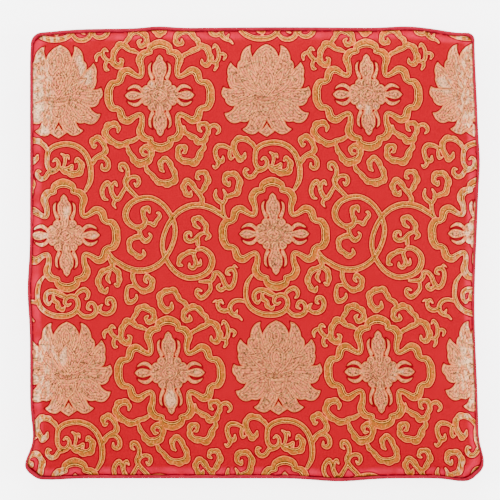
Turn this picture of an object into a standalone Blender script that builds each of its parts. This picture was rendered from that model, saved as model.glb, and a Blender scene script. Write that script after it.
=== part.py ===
"""Square seat cushion with a piped edge: one filled cover and two rings of piping.

The cushion lies on its flat underside. X runs to the right, Y to the back, Z up, and the origin
is under the middle of the cushion, on the surface that it lies on. All sizes are in metres.
"""
from collections import namedtuple
import math

import bmesh
import bpy
from mathutils import Vector

# Driving sizes
SIDE = 0.450                 # nominal side of the square, out to the piping
HEIGHT = 0.050               # flat underside to the top of the crown
CORNER_RADIUS = 0.013        # plan radius of the piped edge at the corners
PIPING_DIAMETER = 0.0045
PIPING_GAP = 0.0004          # room between the piping and the cover, 0.3 mm once both are faceted
TOP_SEAM_HEIGHT = 0.0395
BOTTOM_SEAM_HEIGHT = 0.0055
CROWN = 0.0040               # rise of the top panel's middle above its shoulders
SHOULDER = 0.0065            # length in which the top panel rolls over from its seam
UNDER_FLAT = 0.186           # half side of the square on which the underside lies flat
BLEND_POWER = 7              # how quickly the edge's unevenness dies out towards the middle
UNDER_POWER = 1.5            # the same for the strip round the flat square, and its curve upwards
SEAM_WAVER = 0.0006          # how far the seams wander up and down
BOXING_WAVER = 0.0007        # how far the boxing swells and sinks between its seams

HALF = SIDE / 2
STRAIGHT = HALF - CORNER_RADIUS
PIPING_INSET = PIPING_DIAMETER / 2
SEAM_INSET = PIPING_DIAMETER + PIPING_GAP
SHOULDER_RISE = HEIGHT - CROWN - TOP_SEAM_HEIGHT

# Places of the cage's cuts, from the middle of the cushion to its edge
CUTS = (0.0, 0.035, 0.070, 0.105, 0.140, 0.168, UNDER_FLAT, 0.199, 0.209, 0.217, HALF)

# The boxing's section between the seams: share of its height, and how far in from the outline
BoxingRow = namedtuple("BoxingRow", "share inset")
BOXING_ROWS = (
    BoxingRow(0.90, 0.0037),
    BoxingRow(0.50, 0.0019),
    BoxingRow(0.10, 0.0037),
)

# The slow waves round the cushion, by which its seams wander and its boxing swells
Wave = namedtuple("Wave", "turns phase share")
SEAM_WAVES = (Wave(3, 0.4, 0.65), Wave(8, 1.9, 0.35))
BOXING_WAVES = (Wave(5, 2.6, 0.5), Wave(13, 0.7, 0.5))

# Where the piped edge swells out of the nominal square (plus) or is drawn in from it (minus).
# at is measured from the middle of the side, towards +X or +Y.
Swell = namedtuple("Swell", "side at spread out")
SWELLS = (
    Swell("left", 0.225, 0.020, -0.0014),
    Swell("left", -0.036, 0.030, 0.0024),
    Swell("left", -0.184, 0.022, -0.0030),
    Swell("left", -0.211, 0.015, 0.0056),
    Swell("right", 0.225, 0.080, -0.0046),
    Swell("right", -0.050, 0.085, -0.0044),
    Swell("right", 0.092, 0.022, 0.0014),
    Swell("right", -0.208, 0.016, 0.0050),
    Swell("back", -0.225, 0.035, -0.0036),
    Swell("back", 0.208, 0.024, -0.0040),
    Swell("back", 0.030, 0.160, 0.0022),
    Swell("back", -0.096, 0.018, 0.0018),
    Swell("back", 0.152, 0.022, 0.0018),
    Swell("front", -0.204, 0.020, 0.0014),
    Swell("front", 0.085, 0.032, 0.0030),
    Swell("front", 0.208, 0.016, 0.0028),
)

# The sides in turn, anticlockwise from the front right corner: outward direction, and direction
# of travel
SideFrame = namedtuple("SideFrame", "side outward travel")
LAP = (
    SideFrame("right", (1, 0), (0, 1)),
    SideFrame("back", (0, 1), (-1, 0)),
    SideFrame("left", (-1, 0), (0, -1)),
    SideFrame("front", (0, -1), (1, 0)),
)


def swell(side, along):
    """Sum of the side's bell-shaped swells at a place along it, measured towards +X or +Y."""
    return sum(s.out * math.exp(-((along - s.at) / s.spread) ** 2) for s in SWELLS if s.side == side)


def side_swell(index, run):
    """Swell of one side of the lap, at a distance of travel from the side's middle."""
    frame = LAP[index % 4]
    return swell(frame.side, run * sum(frame.travel))


def outline_point(walked):
    """Plan point of the cushion's outline, at a distance walked round the nominal square.

    A side is straight, then turns through an eighth of a circle to the corner's middle. Each
    point is moved outwards by its side's swell. On the corner's arc the swells of the two sides
    are mixed, half and half at the corner's middle.
    """
    index = int(walked // SIDE) % 4
    frame = LAP[index]
    run = walked % SIDE - HALF
    sign = math.copysign(1.0, run)
    over = max(0.0, abs(run) - STRAIGHT)
    turn = over / CORNER_RADIUS * math.pi / 4
    share = turn / (math.pi / 2)
    offset = (1 - share) * side_swell(index, run) + share * side_swell(index + int(sign), -sign * HALF)
    out = STRAIGHT + (CORNER_RADIUS + offset) * math.cos(turn)
    if over > 0:
        run = sign * (STRAIGHT + (CORNER_RADIUS + offset) * math.sin(turn))
    return (
        out * frame.outward[0] + run * frame.travel[0],
        out * frame.outward[1] + run * frame.travel[1],
    )


def rim_point(walked, inset):
    """Outline point moved inwards by the inset, square to the outline."""
    step = 0.0004
    x, y = outline_point(walked)
    ahead, behind = outline_point(walked + step), outline_point(walked - step)
    along_x, along_y = ahead[0] - behind[0], ahead[1] - behind[1]
    length = math.hypot(along_x, along_y)
    return x - inset * along_y / length, y + inset * along_x / length


def walked_to(x, y):
    """Distance walked round the nominal square to a point on its edge."""
    if abs(x) >= abs(y):
        index = 0 if x > 0 else 2
    else:
        index = 1 if y > 0 else 3
    travel = LAP[index].travel
    return (index * SIDE + HALF + x * travel[0] + y * travel[1]) % (4 * SIDE)


def plan_point(x, y, inset, weight):
    """Move a place on the nominal square so that the square's edge lands on the real outline.

    The move is that of the edge point in the same direction from the middle, times the weight.
    """
    reach = max(abs(x), abs(y)) / HALF
    if reach < 1e-9:
        return x, y
    edge_x, edge_y = x / reach, y / reach
    rim_x, rim_y = rim_point(walked_to(edge_x, edge_y), inset)
    return x + weight * (rim_x - edge_x), y + weight * (rim_y - edge_y)


def waver(waves, x, y):
    """Sum of the waves at a place's angle round the cushion, between about -1 and 1."""
    angle = math.atan2(y, x)
    return sum(wave.share * math.sin(wave.turns * angle + wave.phase) for wave in waves)


def seam_waver(x, y):
    """Height by which the seams wander at a place on the edge."""
    return SEAM_WAVER * waver(SEAM_WAVES, x, y)


def roll(distance):
    """Share of the shoulder's rise reached at a distance in from the seam."""
    return 1 - math.exp(-distance / SHOULDER)


def top_height(x, y):
    """Height of the top panel over a place on the nominal square.

    It is the seam's height, plus the shoulders' rise along both directions multiplied, plus a
    crown that is highest in the middle and ends at the edges.
    """
    inner_x, inner_y = HALF - abs(x), HALF - abs(y)
    shoulder = roll(inner_x) * roll(inner_y)
    crown = (1 - (x / HALF) ** 2) * (1 - (y / HALF) ** 2)
    edge = TOP_SEAM_HEIGHT + seam_waver(x, y) * (1 - shoulder)
    return edge + SHOULDER_RISE * shoulder + CROWN * crown


def under_lift(x, y):
    """Share of the way up to the lower seam: none on the flat square, then a curve upwards."""
    past = max(abs(x), abs(y)) - UNDER_FLAT
    return max(0.0, past / (HALF - UNDER_FLAT)) ** UNDER_POWER


def cut_cage(bm):
    """Cut the unit cube into the cage: the same places along X and Y, the boxing's rows along Z."""
    places = sorted({sign * cut / SIDE for cut in CUTS[:-1] for sign in (-1, 1)})
    planes = [((place, 0, 0), (1, 0, 0)) for place in places]
    planes += [((0, place, 0), (0, 1, 0)) for place in places]
    planes += [((0, 0, row.share - 0.5), (0, 0, 1)) for row in BOXING_ROWS]
    for point, normal in planes:
        everything = bm.verts[:] + bm.edges[:] + bm.faces[:]
        bmesh.ops.bisect_plane(bm, geom=everything, dist=1e-6, plane_co=point, plane_no=normal)


def place_cage_vertex(co):
    """Real place of a vertex of the cut unit cube, on the top panel, the underside or the boxing."""
    x, y, share = co.x * SIDE, co.y * SIDE, co.z + 0.5
    if share > 0.999:
        weight = (max(abs(x), abs(y)) / HALF) ** BLEND_POWER
        return (*plan_point(x, y, SEAM_INSET, weight), top_height(x, y))
    if share < 0.001:
        lift = under_lift(x, y)
        height = (BOTTOM_SEAM_HEIGHT + seam_waver(x, y)) * lift
        return (*plan_point(x, y, SEAM_INSET, lift), height)
    inset = min(BOXING_ROWS, key=lambda row: abs(row.share - share)).inset
    inset += 4 * share * (1 - share) * BOXING_WAVER * waver(BOXING_WAVES, x, y)
    height = BOTTOM_SEAM_HEIGHT + share * (TOP_SEAM_HEIGHT - BOTTOM_SEAM_HEIGHT)
    return (*plan_point(x, y, inset, 1.0), height + seam_waver(x, y))


def sharpen_seams(bm):
    """Crease the two loops of edges where the panels meet the boxing, so that the seams stay lines."""
    crease = bm.edges.layers.float.new("crease_edge")
    for edge in bm.edges:
        flat = [abs(face.normal.z) > 0.5 for face in edge.link_faces]
        if any(flat) and not all(flat):
            edge[crease] = 1.0


def sharpen_flat_square(bm):
    """Crease the border and the corners of the underside's flat square, so that all of it is flat."""
    edge_crease = bm.edges.layers.float.get("crease_edge")
    vert_crease = bm.verts.layers.float.new("crease_vert")

    def on_border(vert):
        reach = max(abs(vert.co.x), abs(vert.co.y)) * SIDE
        return vert.co.z < -0.499 and abs(reach - UNDER_FLAT) < 1e-5

    for vert in filter(on_border, bm.verts):
        if abs(abs(vert.co.x) - abs(vert.co.y)) < 1e-5:
            vert[vert_crease] = 1.0
    for edge in bm.edges:
        if all(map(on_border, edge.verts)):
            edge[edge_crease] = 1.0


def make_cloth(name, color, roughness, sheen):
    """Material of plain cloth in one colour."""
    material = bpy.data.materials.new(name)
    material.use_nodes = True
    shader = material.node_tree.nodes["Principled BSDF"]
    shader.inputs["Base Color"].default_value = (*color, 1.0)
    shader.inputs["Roughness"].default_value = roughness
    shader.inputs["Sheen Weight"].default_value = sheen
    return material


def add_cushion(collection, material):
    """The filled cushion: a cube cut into a cage, shaped, and smoothed by subdivision."""
    bm = bmesh.new()
    bmesh.ops.create_cube(bm, size=1.0)
    cut_cage(bm)
    bm.normal_update()
    sharpen_seams(bm)
    sharpen_flat_square(bm)
    for vert in bm.verts:
        vert.co = place_cage_vertex(vert.co)
    bm.normal_update()
    mesh = bpy.data.meshes.new("cushion")
    bm.to_mesh(mesh)
    bm.free()
    mesh.materials.append(material)
    mesh.shade_smooth()
    cushion = bpy.data.objects.new("cushion", mesh)
    smooth = cushion.modifiers.new("Smooth", "SUBSURF")
    smooth.levels = 1
    smooth.render_levels = 1
    collection.objects.link(cushion)
    return cushion


def ring_places():
    """Distances walked round the nominal square to each of the cage's cuts on its edge."""
    across = [-cut for cut in reversed(CUTS[1:])] + list(CUTS)
    return [index * SIDE + HALF + place for index in range(4) for place in across[:-1]]


def smoothed_ring(points):
    """One step of smoothing of a closed line, as subdivision does it along the cover's seam.

    Each point becomes 1/8, 6/8 and 1/8 of itself and its neighbours, and the middle of the line
    to the next point follows it.
    """
    ring = []
    for index, point in enumerate(points):
        before, after = points[index - 1], points[(index + 1) % len(points)]
        ring.append(before / 8 + point * 6 / 8 + after / 8)
        ring.append((point + after) / 2)
    return ring


def add_piping(name, collection, material, seam_height):
    """A round cord of piping, carried along the outline as a closed curve."""
    cage = []
    for walked in ring_places():
        x, y = rim_point(walked, PIPING_INSET)
        cage.append(Vector((x, y, seam_height + seam_waver(x, y))))
    points = smoothed_ring(cage)
    curve = bpy.data.curves.new(name, "CURVE")
    curve.dimensions = "3D"
    curve.bevel_depth = PIPING_DIAMETER / 2
    curve.bevel_resolution = 2
    spline = curve.splines.new("POLY")
    spline.points.add(len(points) - 1)
    spline.points.foreach_set("co", [value for point in points for value in (*point, 1.0)])
    spline.use_cyclic_u = True
    spline.use_smooth = True
    curve.materials.append(material)
    piping = bpy.data.objects.new(name, curve)
    collection.objects.link(piping)
    return piping


def main():
    for old in list(bpy.data.objects):
        bpy.data.objects.remove(old, do_unlink=True)
    collection = bpy.data.collections.new("Seat_Cushion")
    bpy.context.scene.collection.children.link(collection)
    brocade = make_cloth("Brocade", color=(0.74, 0.03, 0.045), roughness=0.45, sheen=0.2)
    satin = make_cloth("Satin", color=(0.52, 0.02, 0.03), roughness=0.38, sheen=0.2)
    add_cushion(collection, brocade)
    add_piping("piping_top", collection, satin, TOP_SEAM_HEIGHT)
    add_piping("piping_bottom", collection, satin, BOTTOM_SEAM_HEIGHT)


main()
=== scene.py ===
# %% [markdown]
# # A square seat cushion in red and gold brocade
#
# The real object is a boxed cushion: a square top of woven brocade, a plain red satin strip
# round the sides, a plain underside, and a thin satin piping sewn into both seams. It lies flat
# and is looked at from straight above, so the brocade's pattern is most of what one sees. The
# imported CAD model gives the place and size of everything, and this script replaces its plain
# solids by finer surfaces with cloth finishes.

import math
from collections import namedtuple
from types import SimpleNamespace

import bpy
import numpy as np
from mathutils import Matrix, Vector


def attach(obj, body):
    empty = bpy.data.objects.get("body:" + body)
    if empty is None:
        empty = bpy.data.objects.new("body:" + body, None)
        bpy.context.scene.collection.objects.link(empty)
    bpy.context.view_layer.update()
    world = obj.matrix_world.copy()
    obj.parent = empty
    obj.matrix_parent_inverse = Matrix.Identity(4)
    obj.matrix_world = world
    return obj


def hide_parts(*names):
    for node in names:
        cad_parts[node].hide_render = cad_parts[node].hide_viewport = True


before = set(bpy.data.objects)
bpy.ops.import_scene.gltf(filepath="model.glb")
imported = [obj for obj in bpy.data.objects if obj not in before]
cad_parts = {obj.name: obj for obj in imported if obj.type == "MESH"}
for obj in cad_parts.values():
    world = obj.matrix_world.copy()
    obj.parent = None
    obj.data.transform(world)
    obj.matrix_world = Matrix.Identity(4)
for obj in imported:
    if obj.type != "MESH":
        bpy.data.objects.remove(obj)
bpy.context.view_layer.update()
print("CAD nodes:", sorted(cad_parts))

# %% [markdown]
# ## Camera
#
# The photograph was taken from straight above and from far away, because no side of the cushion
# shows. A long lens does the same here. The frame is 500 mm wide at the height of the top, and
# the camera looks at a point a little to the left of the cushion's middle and behind it.

# %% Camera
FRAME_WIDTH = 0.500
FRAME_HEIGHT = 0.043         # height above the floor at which the frame is that wide
CAMERA_DISTANCE = 2.6
FARTHEST_SEEN = 20.0
LOOKED_AT = (-0.0045, 0.0039)

lens = bpy.data.cameras.new("camera")
lens.sensor_fit = "HORIZONTAL"
lens.angle = 2 * math.atan(FRAME_WIDTH / 2 / CAMERA_DISTANCE)
lens.clip_end = FARTHEST_SEEN
camera = bpy.data.objects.new("camera", lens)
camera.location = (*LOOKED_AT, FRAME_HEIGHT + CAMERA_DISTANCE)
bpy.context.scene.collection.objects.link(camera)
bpy.context.scene.camera = camera
print("lens:", round(math.degrees(lens.angle), 2), "degrees across")

# %% [markdown]
# ## The outline
#
# The piped edge is a square with rounded corners that swells out and is drawn in by a few
# millimetres, as a stuffed cover is. It is described once, as a function of the distance walked
# round the nominal square, with the same values as the CAD's outline. The piping, the seams and
# all panels are built on it, so they fit each other by themselves.

# %% Outline of the piped edge
SIDE = 0.450
HALF = SIDE / 2
CORNER_RADIUS = 0.013
STRAIGHT = HALF - CORNER_RADIUS
LAP_LENGTH = 4 * SIDE
RIM_STEP = 0.0004            # step along the outline from which its direction is measured

Swell = namedtuple("Swell", "side at spread out")
SWELLS = (
    Swell("left", 0.225, 0.020, -0.0014),
    Swell("left", -0.036, 0.030, 0.0024),
    Swell("left", -0.184, 0.022, -0.0030),
    Swell("left", -0.211, 0.015, 0.0056),
    Swell("right", 0.225, 0.080, -0.0046),
    Swell("right", -0.050, 0.085, -0.0044),
    Swell("right", 0.092, 0.022, 0.0014),
    Swell("right", -0.208, 0.016, 0.0050),
    Swell("back", -0.225, 0.035, -0.0036),
    Swell("back", 0.208, 0.024, -0.0040),
    Swell("back", 0.030, 0.160, 0.0022),
    Swell("back", -0.096, 0.018, 0.0018),
    Swell("back", 0.152, 0.022, 0.0018),
    Swell("front", -0.204, 0.020, 0.0014),
    Swell("front", 0.085, 0.032, 0.0030),
    Swell("front", 0.208, 0.016, 0.0028),
)
LAP = ("right", "back", "left", "front")
OUTWARD = np.array([(1, 0), (0, 1), (-1, 0), (0, -1)], float)
TRAVEL = np.array([(0, 1), (-1, 0), (0, -1), (1, 0)], float)


def side_swell(index, run):
    """Sum of a side's bell curves, at a distance of travel from the side's middle."""
    along = run * TRAVEL[index % 4].sum(axis=-1)
    total = np.zeros(np.shape(run))
    for swell in SWELLS:
        here = LAP.index(swell.side) == index % 4
        total += here * swell.out * np.exp(-((along - swell.at) / swell.spread) ** 2)
    return total


def outline(walked):
    """Plan points of the outline: each side is straight, then an eighth of a circle, all of it
    moved outwards by the swell. On the corner the two sides' swells are mixed by the turn."""
    index = (walked // SIDE).astype(int) % 4
    run = walked % SIDE - HALF
    sign = np.where(run < 0, -1, 1)
    over = np.maximum(0.0, np.abs(run) - STRAIGHT)
    turn = over / CORNER_RADIUS * math.pi / 4
    share = turn / (math.pi / 2)
    offset = (1 - share) * side_swell(index, run) + share * side_swell(index + sign, -sign * HALF)
    out = STRAIGHT + (CORNER_RADIUS + offset) * np.cos(turn)
    along = sign * (STRAIGHT + (CORNER_RADIUS + offset) * np.sin(turn))
    along = np.where(over > 0, along, run)
    return out[..., None] * OUTWARD[index] + along[..., None] * TRAVEL[index]


def inward(walked):
    """Direction that points in from the outline, square to it."""
    along = outline(walked + RIM_STEP) - outline(walked - RIM_STEP)
    along /= np.linalg.norm(along, axis=-1, keepdims=True)
    return np.stack([-along[..., 1], along[..., 0]], axis=-1)


def rim(walked, inset):
    """The outline moved inwards by the inset."""
    return outline(walked) + inward(walked) * np.asarray(inset)[..., None]


lap = outline(np.linspace(0, LAP_LENGTH, 2000))
print("outline, mm:", (np.ptp(lap, axis=0) * 1000).round(1))

# %% [markdown]
# ## The cover's shape
#
# A cover like this is three pieces of cloth in one closed skin: the crowned top panel, the boxing
# between the two seams, and the underside, flat where it rests. Each is a function of two
# parameters. The two panels start as a square grid that is moved so that its border lands on the
# seam, and the boxing is a profile carried round. The formulas agree along the seams, so the
# skin is closed by construction and needs no stitching afterwards. The filling also pushes the
# top panel out over the seam, so from above it hides about half of the piping. First come the
# seams, which waver slightly in height, and the helpers that tell where a place lies.

# %% Seams and places on a panel
SEAM_INSET = 0.0042          # the seams run just inside the piping
TOP_SEAM_HEIGHT = 0.0395
BOTTOM_SEAM_HEIGHT = 0.0055
NEVER_ZERO = 1e-9

Wave = namedtuple("Wave", "turns phase share")
SEAM_WAVER = 0.0006
SEAM_WAVES = (Wave(3, 0.4, 0.65), Wave(8, 1.9, 0.35))


def waver(angle, waves, shift=0.0):
    """Sum of sines of an angle, each with its number of turns, its phase and its share."""
    return sum(wave.share * np.sin(wave.turns * angle + wave.phase + shift) for wave in waves)


def angle_of(place):
    """Angle at which a place is seen from the cushion's middle."""
    return np.arctan2(place[..., 1], place[..., 0])


def seam_waver(place):
    """Height by which the seams wander."""
    return SEAM_WAVER * waver(angle_of(place), SEAM_WAVES)


def walked_to(place):
    """Distance walked round the nominal square to a point on its edge."""
    x, y = place[..., 0], place[..., 1]
    index = np.where(np.abs(x) >= np.abs(y), np.where(x > 0, 0, 2), np.where(y > 0, 1, 3))
    return (index * SIDE + HALF + (place * TRAVEL[index]).sum(axis=-1)) % LAP_LENGTH


def reach(place):
    """How far out a place lies: 0 in the middle, 1 on the nominal square's edge."""
    return np.abs(place).max(axis=-1) / HALF


def edge_beyond(place):
    """The point of the nominal square's edge that lies in the same direction as a place."""
    return place / np.maximum(reach(place), NEVER_ZERO)[..., None]


def plan(place, weight):
    """Place on a panel, moved as the edge in the same direction moves, times the weight."""
    edge = edge_beyond(place)
    return place + weight[..., None] * (rim(walked_to(edge), SEAM_INSET) - edge)


print("seams wander, mm:", round(np.ptp(seam_waver(lap)) * 1000, 1))

# %% [markdown]
# ## Top, boxing and underside
#
# The top rises from the seam in a short roll, stays almost level and has a low crown in its
# middle. The boxing swells out a little between the seams. The underside lies flat and lifts
# only near its seam. Bumps and falling exponentials of the distance from a seam do all this.

# %% Shape of the panels
SHOULDER = 0.0036            # length of the roll from the seam up to the panel
SHOULDER_RISE = 0.0062
CROWN = 0.0040
EDGE_HOLD = 7                # the higher, the less a place far in moves as the edge does
BULGE = {"right": 0.0039, "back": 0.0026, "left": 0.0037, "front": 0.0027}
BULGE_REACH = 0.0016         # distance in from the seam at which the panel bulges most
UNDER_FLAT = 0.186           # half side of the square that lies flat
UNDER_CURVE = 1.5            # power by which the underside lifts past that square
BOXING_BULGE = 0.0026
BOXING_FLATNESS = 0.6        # power of the boxing's half sine, flatter the smaller it is
BOXING_WAVER = 0.0007
BOXING_WAVES = (Wave(5, 2.6, 0.5), Wave(13, 0.7, 0.5))


def roll(distance):
    """1 minus a falling exponential: the panel rounds over within a shoulder's length."""
    return 1 - np.exp(-distance / SHOULDER)


def rise_and_fall(distance, peak):
    """A distance times its falling exponential: 0 at the seam, 1 at the peak, then fading."""
    return distance / peak * np.exp(1 - distance / peak)


def bulge(place):
    """Move outwards over the piping: a bump of the distance in from each of the four seams. It
    fades towards the two seams that meet that one."""
    inner = np.moveaxis(np.concatenate([HALF - place, HALF + place], axis=-1), -1, 0)
    moves = []
    for i, side in enumerate(LAP):
        share = rise_and_fall(inner[i], BULGE_REACH) * roll(inner[i - 1]) * roll(inner[i - 3])
        moves.append(BULGE[side] * share[..., None] * OUTWARD[i])
    return sum(moves)


def top_surface(place):
    """Seam height, plus both shoulders multiplied, plus a crown of two parabolas multiplied."""
    shoulder = roll(HALF - np.abs(place)).prod(axis=-1)
    crown = (1 - (place / HALF) ** 2).prod(axis=-1)
    edge = TOP_SEAM_HEIGHT + seam_waver(place) * (1 - shoulder)
    height = edge + SHOULDER_RISE * shoulder + CROWN * crown
    moved = plan(place, reach(place) ** EDGE_HOLD) + bulge(place)
    return np.concatenate([moved, height[..., None]], axis=-1)


def under_surface(place):
    """Flat square, then a power curve up to the lower seam. The plan move grows with the lift."""
    past = (reach(place) * HALF - UNDER_FLAT) / (HALF - UNDER_FLAT)
    lift = np.maximum(0.0, past) ** UNDER_CURVE
    height = (BOTTOM_SEAM_HEIGHT + seam_waver(place)) * lift
    return np.concatenate([plan(place, lift), height[..., None]], axis=-1)


def boxing_surface(walked, share):
    """Between the seams: a flattened half sine outwards, with slow swells round the lap."""
    place = outline(walked)
    arch = np.sin(math.pi * share).clip(0)
    swell = BOXING_WAVER * waver(angle_of(place), BOXING_WAVES)
    inset = SEAM_INSET - BOXING_BULGE * arch ** BOXING_FLATNESS + swell * arch
    height = BOTTOM_SEAM_HEIGHT + share * (TOP_SEAM_HEIGHT - BOTTOM_SEAM_HEIGHT)
    return np.concatenate([rim(walked, inset), (height + seam_waver(place))[..., None]], axis=-1)


print("top's middle, mm:", (top_surface(np.zeros((1, 2)))[0] * 1000).round(1))

# %% [markdown]
# ## One grid for the whole skin
#
# The top carries the pattern, so its cells are fine, little more than a millimetre. The boxing
# takes over the top's border points and carries them down. The underside is plain, so it has a
# quarter as many cells a side, and a ring of fans joins the fine border to the coarse one. The
# vertices are numbered patch by patch, which makes the faces plain index arithmetic.

# %% Grid of the cover
CELLS = 400
ROWS = 10                    # rows of the boxing
FAN = 4                      # fine cells to one cell of the underside
UNDER_REACH = 0.985          # where the underside's grid ends and the fans begin


def square_grid(cells, size):
    """Points of a square grid, row by row from the front left corner."""
    steps = np.linspace(-size, size, cells + 1)
    return np.stack(np.meshgrid(steps, steps), axis=-1).reshape(-1, 2)


def grid_index(cells):
    """Indices of a grid's points, in its rows."""
    return np.arange((cells + 1) ** 2).reshape(cells + 1, cells + 1)


def border(cells):
    """Indices of the grid's border points, anticlockwise from the front right corner."""
    index = grid_index(cells)
    return np.concatenate([index[:-1, -1], index[-1, :0:-1], index[:0:-1, 0], index[0, :-1]])


def grid_faces(cells):
    """Quads of a grid, anticlockwise as seen from above."""
    index = grid_index(cells)
    corners = [index[:-1, :-1], index[:-1, 1:], index[1:, 1:], index[1:, :-1]]
    return np.stack(corners, axis=-1).reshape(-1, 4)


class Skin:
    """Points and faces of the cover at a number of cells: top, boxing, fans and underside."""

    def __init__(self, cells, rows):
        self.cells, self.rows = cells, rows
        self.top = square_grid(cells, HALF)
        self.under = square_grid(cells // FAN, HALF * UNDER_REACH)
        self.rim = border(cells)
        self.around = len(self.rim)
        self.walked = walked_to(self.top[self.rim])
        shares = 1 - np.arange(1, rows + 1) / rows
        boxing = boxing_surface(np.tile(self.walked, rows), np.repeat(shares, self.around))
        parts = [top_surface(self.top), boxing, under_surface(self.under)]
        self.points = np.concatenate(parts)
        border_rows = np.tile(self.top[self.rim], (rows, 1))
        self.nominal = np.concatenate([self.top, border_rows, self.under])
        self.starts = np.cumsum([0] + [len(part) for part in parts])

    def rings(self):
        """Indices of the boxing's rings, from the upper seam down to the lower one."""
        lower = self.starts[1] + np.arange(self.rows * self.around).reshape(self.rows, -1)
        return np.vstack([self.rim, lower])

    def faces(self):
        """Faces of the top, the boxing, the fans and the underside, all facing outwards."""
        rings = self.rings()
        after = np.roll(rings, -1, axis=1)
        boxing = np.stack([rings[:-1], rings[1:], after[1:], after[:-1]], axis=-1).reshape(-1, 4)
        outer = rings[-1].reshape(-1, FAN)
        inner = self.starts[2] + border(self.cells // FAN)
        following = np.roll(outer[:, 0], -1)
        fans = np.column_stack([inner, np.roll(inner, -1), following, outer[:, ::-1]])
        under = self.starts[2] + grid_faces(self.cells // FAN)[:, ::-1]
        return grid_faces(self.cells), boxing, fans, under


skin = Skin(CELLS, ROWS)
patches = skin.faces()
print("cover:", len(skin.points), "points, faces", [len(patch) for patch in patches])

# %% [markdown]
# ## The stuffing pushes the cloth
#
# A filled cover isn't as regular as a formula. The filling presses the cloth out between the
# seams, which hold it, and it puckers a little along them. Here a coarse copy of the same skin
# is inflated as cloth with its seams and its underside held. It starts a little too low and
# swells to its height.

# %% Inflate a coarse copy
COARSE_CELLS = 96
COARSE_ROWS = 6
LOWERED = 0.0022             # how much lower than its final crown the copy starts
EASE = 0.003                 # share by which the cloth is cut larger than the shape
CLOTH_SETTINGS = {
    "quality": 6,
    "mass": 0.25,
    "tension_stiffness": 18,
    "compression_stiffness": 18,
    "shear_stiffness": 6,
    "bending_stiffness": 0.1,
    "use_pressure": True,
    "uniform_pressure_force": 1.0,
    "shrink_min": -EASE,
    "vertex_group_mass": "held",
}
FRAMES = 20


def add_mesh(name, points, faces):
    """A smooth-shaded mesh object at the origin: its points hold its place."""
    mesh = bpy.data.meshes.new(name)
    mesh.from_pydata(points.tolist(), [], faces)
    mesh.shade_smooth()
    piece = bpy.data.objects.new(name, mesh)
    bpy.context.scene.collection.objects.link(piece)
    return piece


def face_rows(patches):
    """All faces of some patches, one after the other."""
    return [face for patch in patches for face in patch.tolist()]


def inflate(copy):
    """Movement of each point of a coarse skin from its shape to where the filling pushes it."""
    start = copy.points.copy()
    inner = roll(HALF - np.abs(copy.top)).prod(axis=-1)
    start[:len(copy.top), 2] -= LOWERED * inner
    piece = add_mesh("coarse_cover", start, face_rows(copy.faces()))
    held = piece.vertex_groups.new(name="held")
    rings = copy.rings()
    still = np.concatenate([rings[0], rings[-1], np.arange(copy.starts[2], copy.starts[3])])
    held.add(still.tolist(), 1.0, "REPLACE")
    cloth = piece.modifiers.new("Cloth", "CLOTH")
    for name, setting in CLOTH_SETTINGS.items():
        setattr(cloth.settings, name, setting)
    cloth.settings.effector_weights.gravity = 0
    cloth.point_cache.frame_start = 1
    cloth.point_cache.frame_end = FRAMES
    for number in range(1, FRAMES + 1):
        bpy.context.scene.frame_set(number)
    blown = piece.evaluated_get(bpy.context.evaluated_depsgraph_get()).data
    places = np.empty(len(blown.vertices) * 3)
    blown.vertices.foreach_get("co", places)
    bpy.context.scene.frame_set(1)
    bpy.data.objects.remove(piece, do_unlink=True)
    return places.reshape(-1, 3) - copy.points


coarse = Skin(COARSE_CELLS, COARSE_ROWS)
swelling = inflate(coarse)
print("the filling moves the copy by up to", round(np.abs(swelling).max() * 1000, 1), "mm")

# %% [markdown]
# ## Carry the movement to the fine skin
#
# The copy has the same two parameters as the fine skin, so its movement can be read back as a
# grid and laid on the fine skin by interpolation, and the seams stay where they are. The slow
# swelling is in the formulas already, so little of it is kept, and most of the fine puckers.

# %% Movement of the fine skin
SMOOTHING = 3.0              # cells over which a movement counts as slow
MOST_MOVEMENT = 0.004
# Shares that are kept: slow swelling of the top, its fine puckers, and all that the boxing does
SLOW_SHARE, FINE_SHARE, BOXING_SHARE = 0.2, 0.9, 0.5


def smooth_steps(count, coarse, around=False):
    """Matrix that carries values at coarse steps to count steps by cubic interpolation."""
    place = np.arange(count) * (coarse / count) if around else np.linspace(0, coarse - 1, count)
    first = np.floor(place).astype(int)
    t = place - first
    weights = np.stack([
        (-t + 2 * t ** 2 - t ** 3) / 2,
        (2 - 5 * t ** 2 + 3 * t ** 3) / 2,
        (t + 4 * t ** 2 - 3 * t ** 3) / 2,
        (-t ** 2 + t ** 3) / 2,
    ])
    matrix = np.zeros((count, coarse))
    for offset, weight in zip((-1, 0, 1, 2), weights):
        column = first + offset
        column = column % coarse if around else column.clip(0, coarse - 1)
        np.add.at(matrix, (np.arange(count), column), weight)
    return matrix


def slow_part(grid):
    """A grid of movements averaged with its neighbours by a bell curve in both directions."""
    steps = np.arange(len(grid))
    weights = np.exp(-((steps[:, None] - steps) / SMOOTHING) ** 2 / 2)
    weights /= weights.sum(axis=1, keepdims=True)
    return np.einsum("ia,jb,abk->ijk", weights, weights, grid)


def limited(movement):
    """Movements shortened softly so that none is longer than the most allowed."""
    length = np.linalg.norm(movement, axis=-1, keepdims=True)
    return movement / np.sqrt(1 + (length / MOST_MOVEMENT) ** 2)


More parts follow.
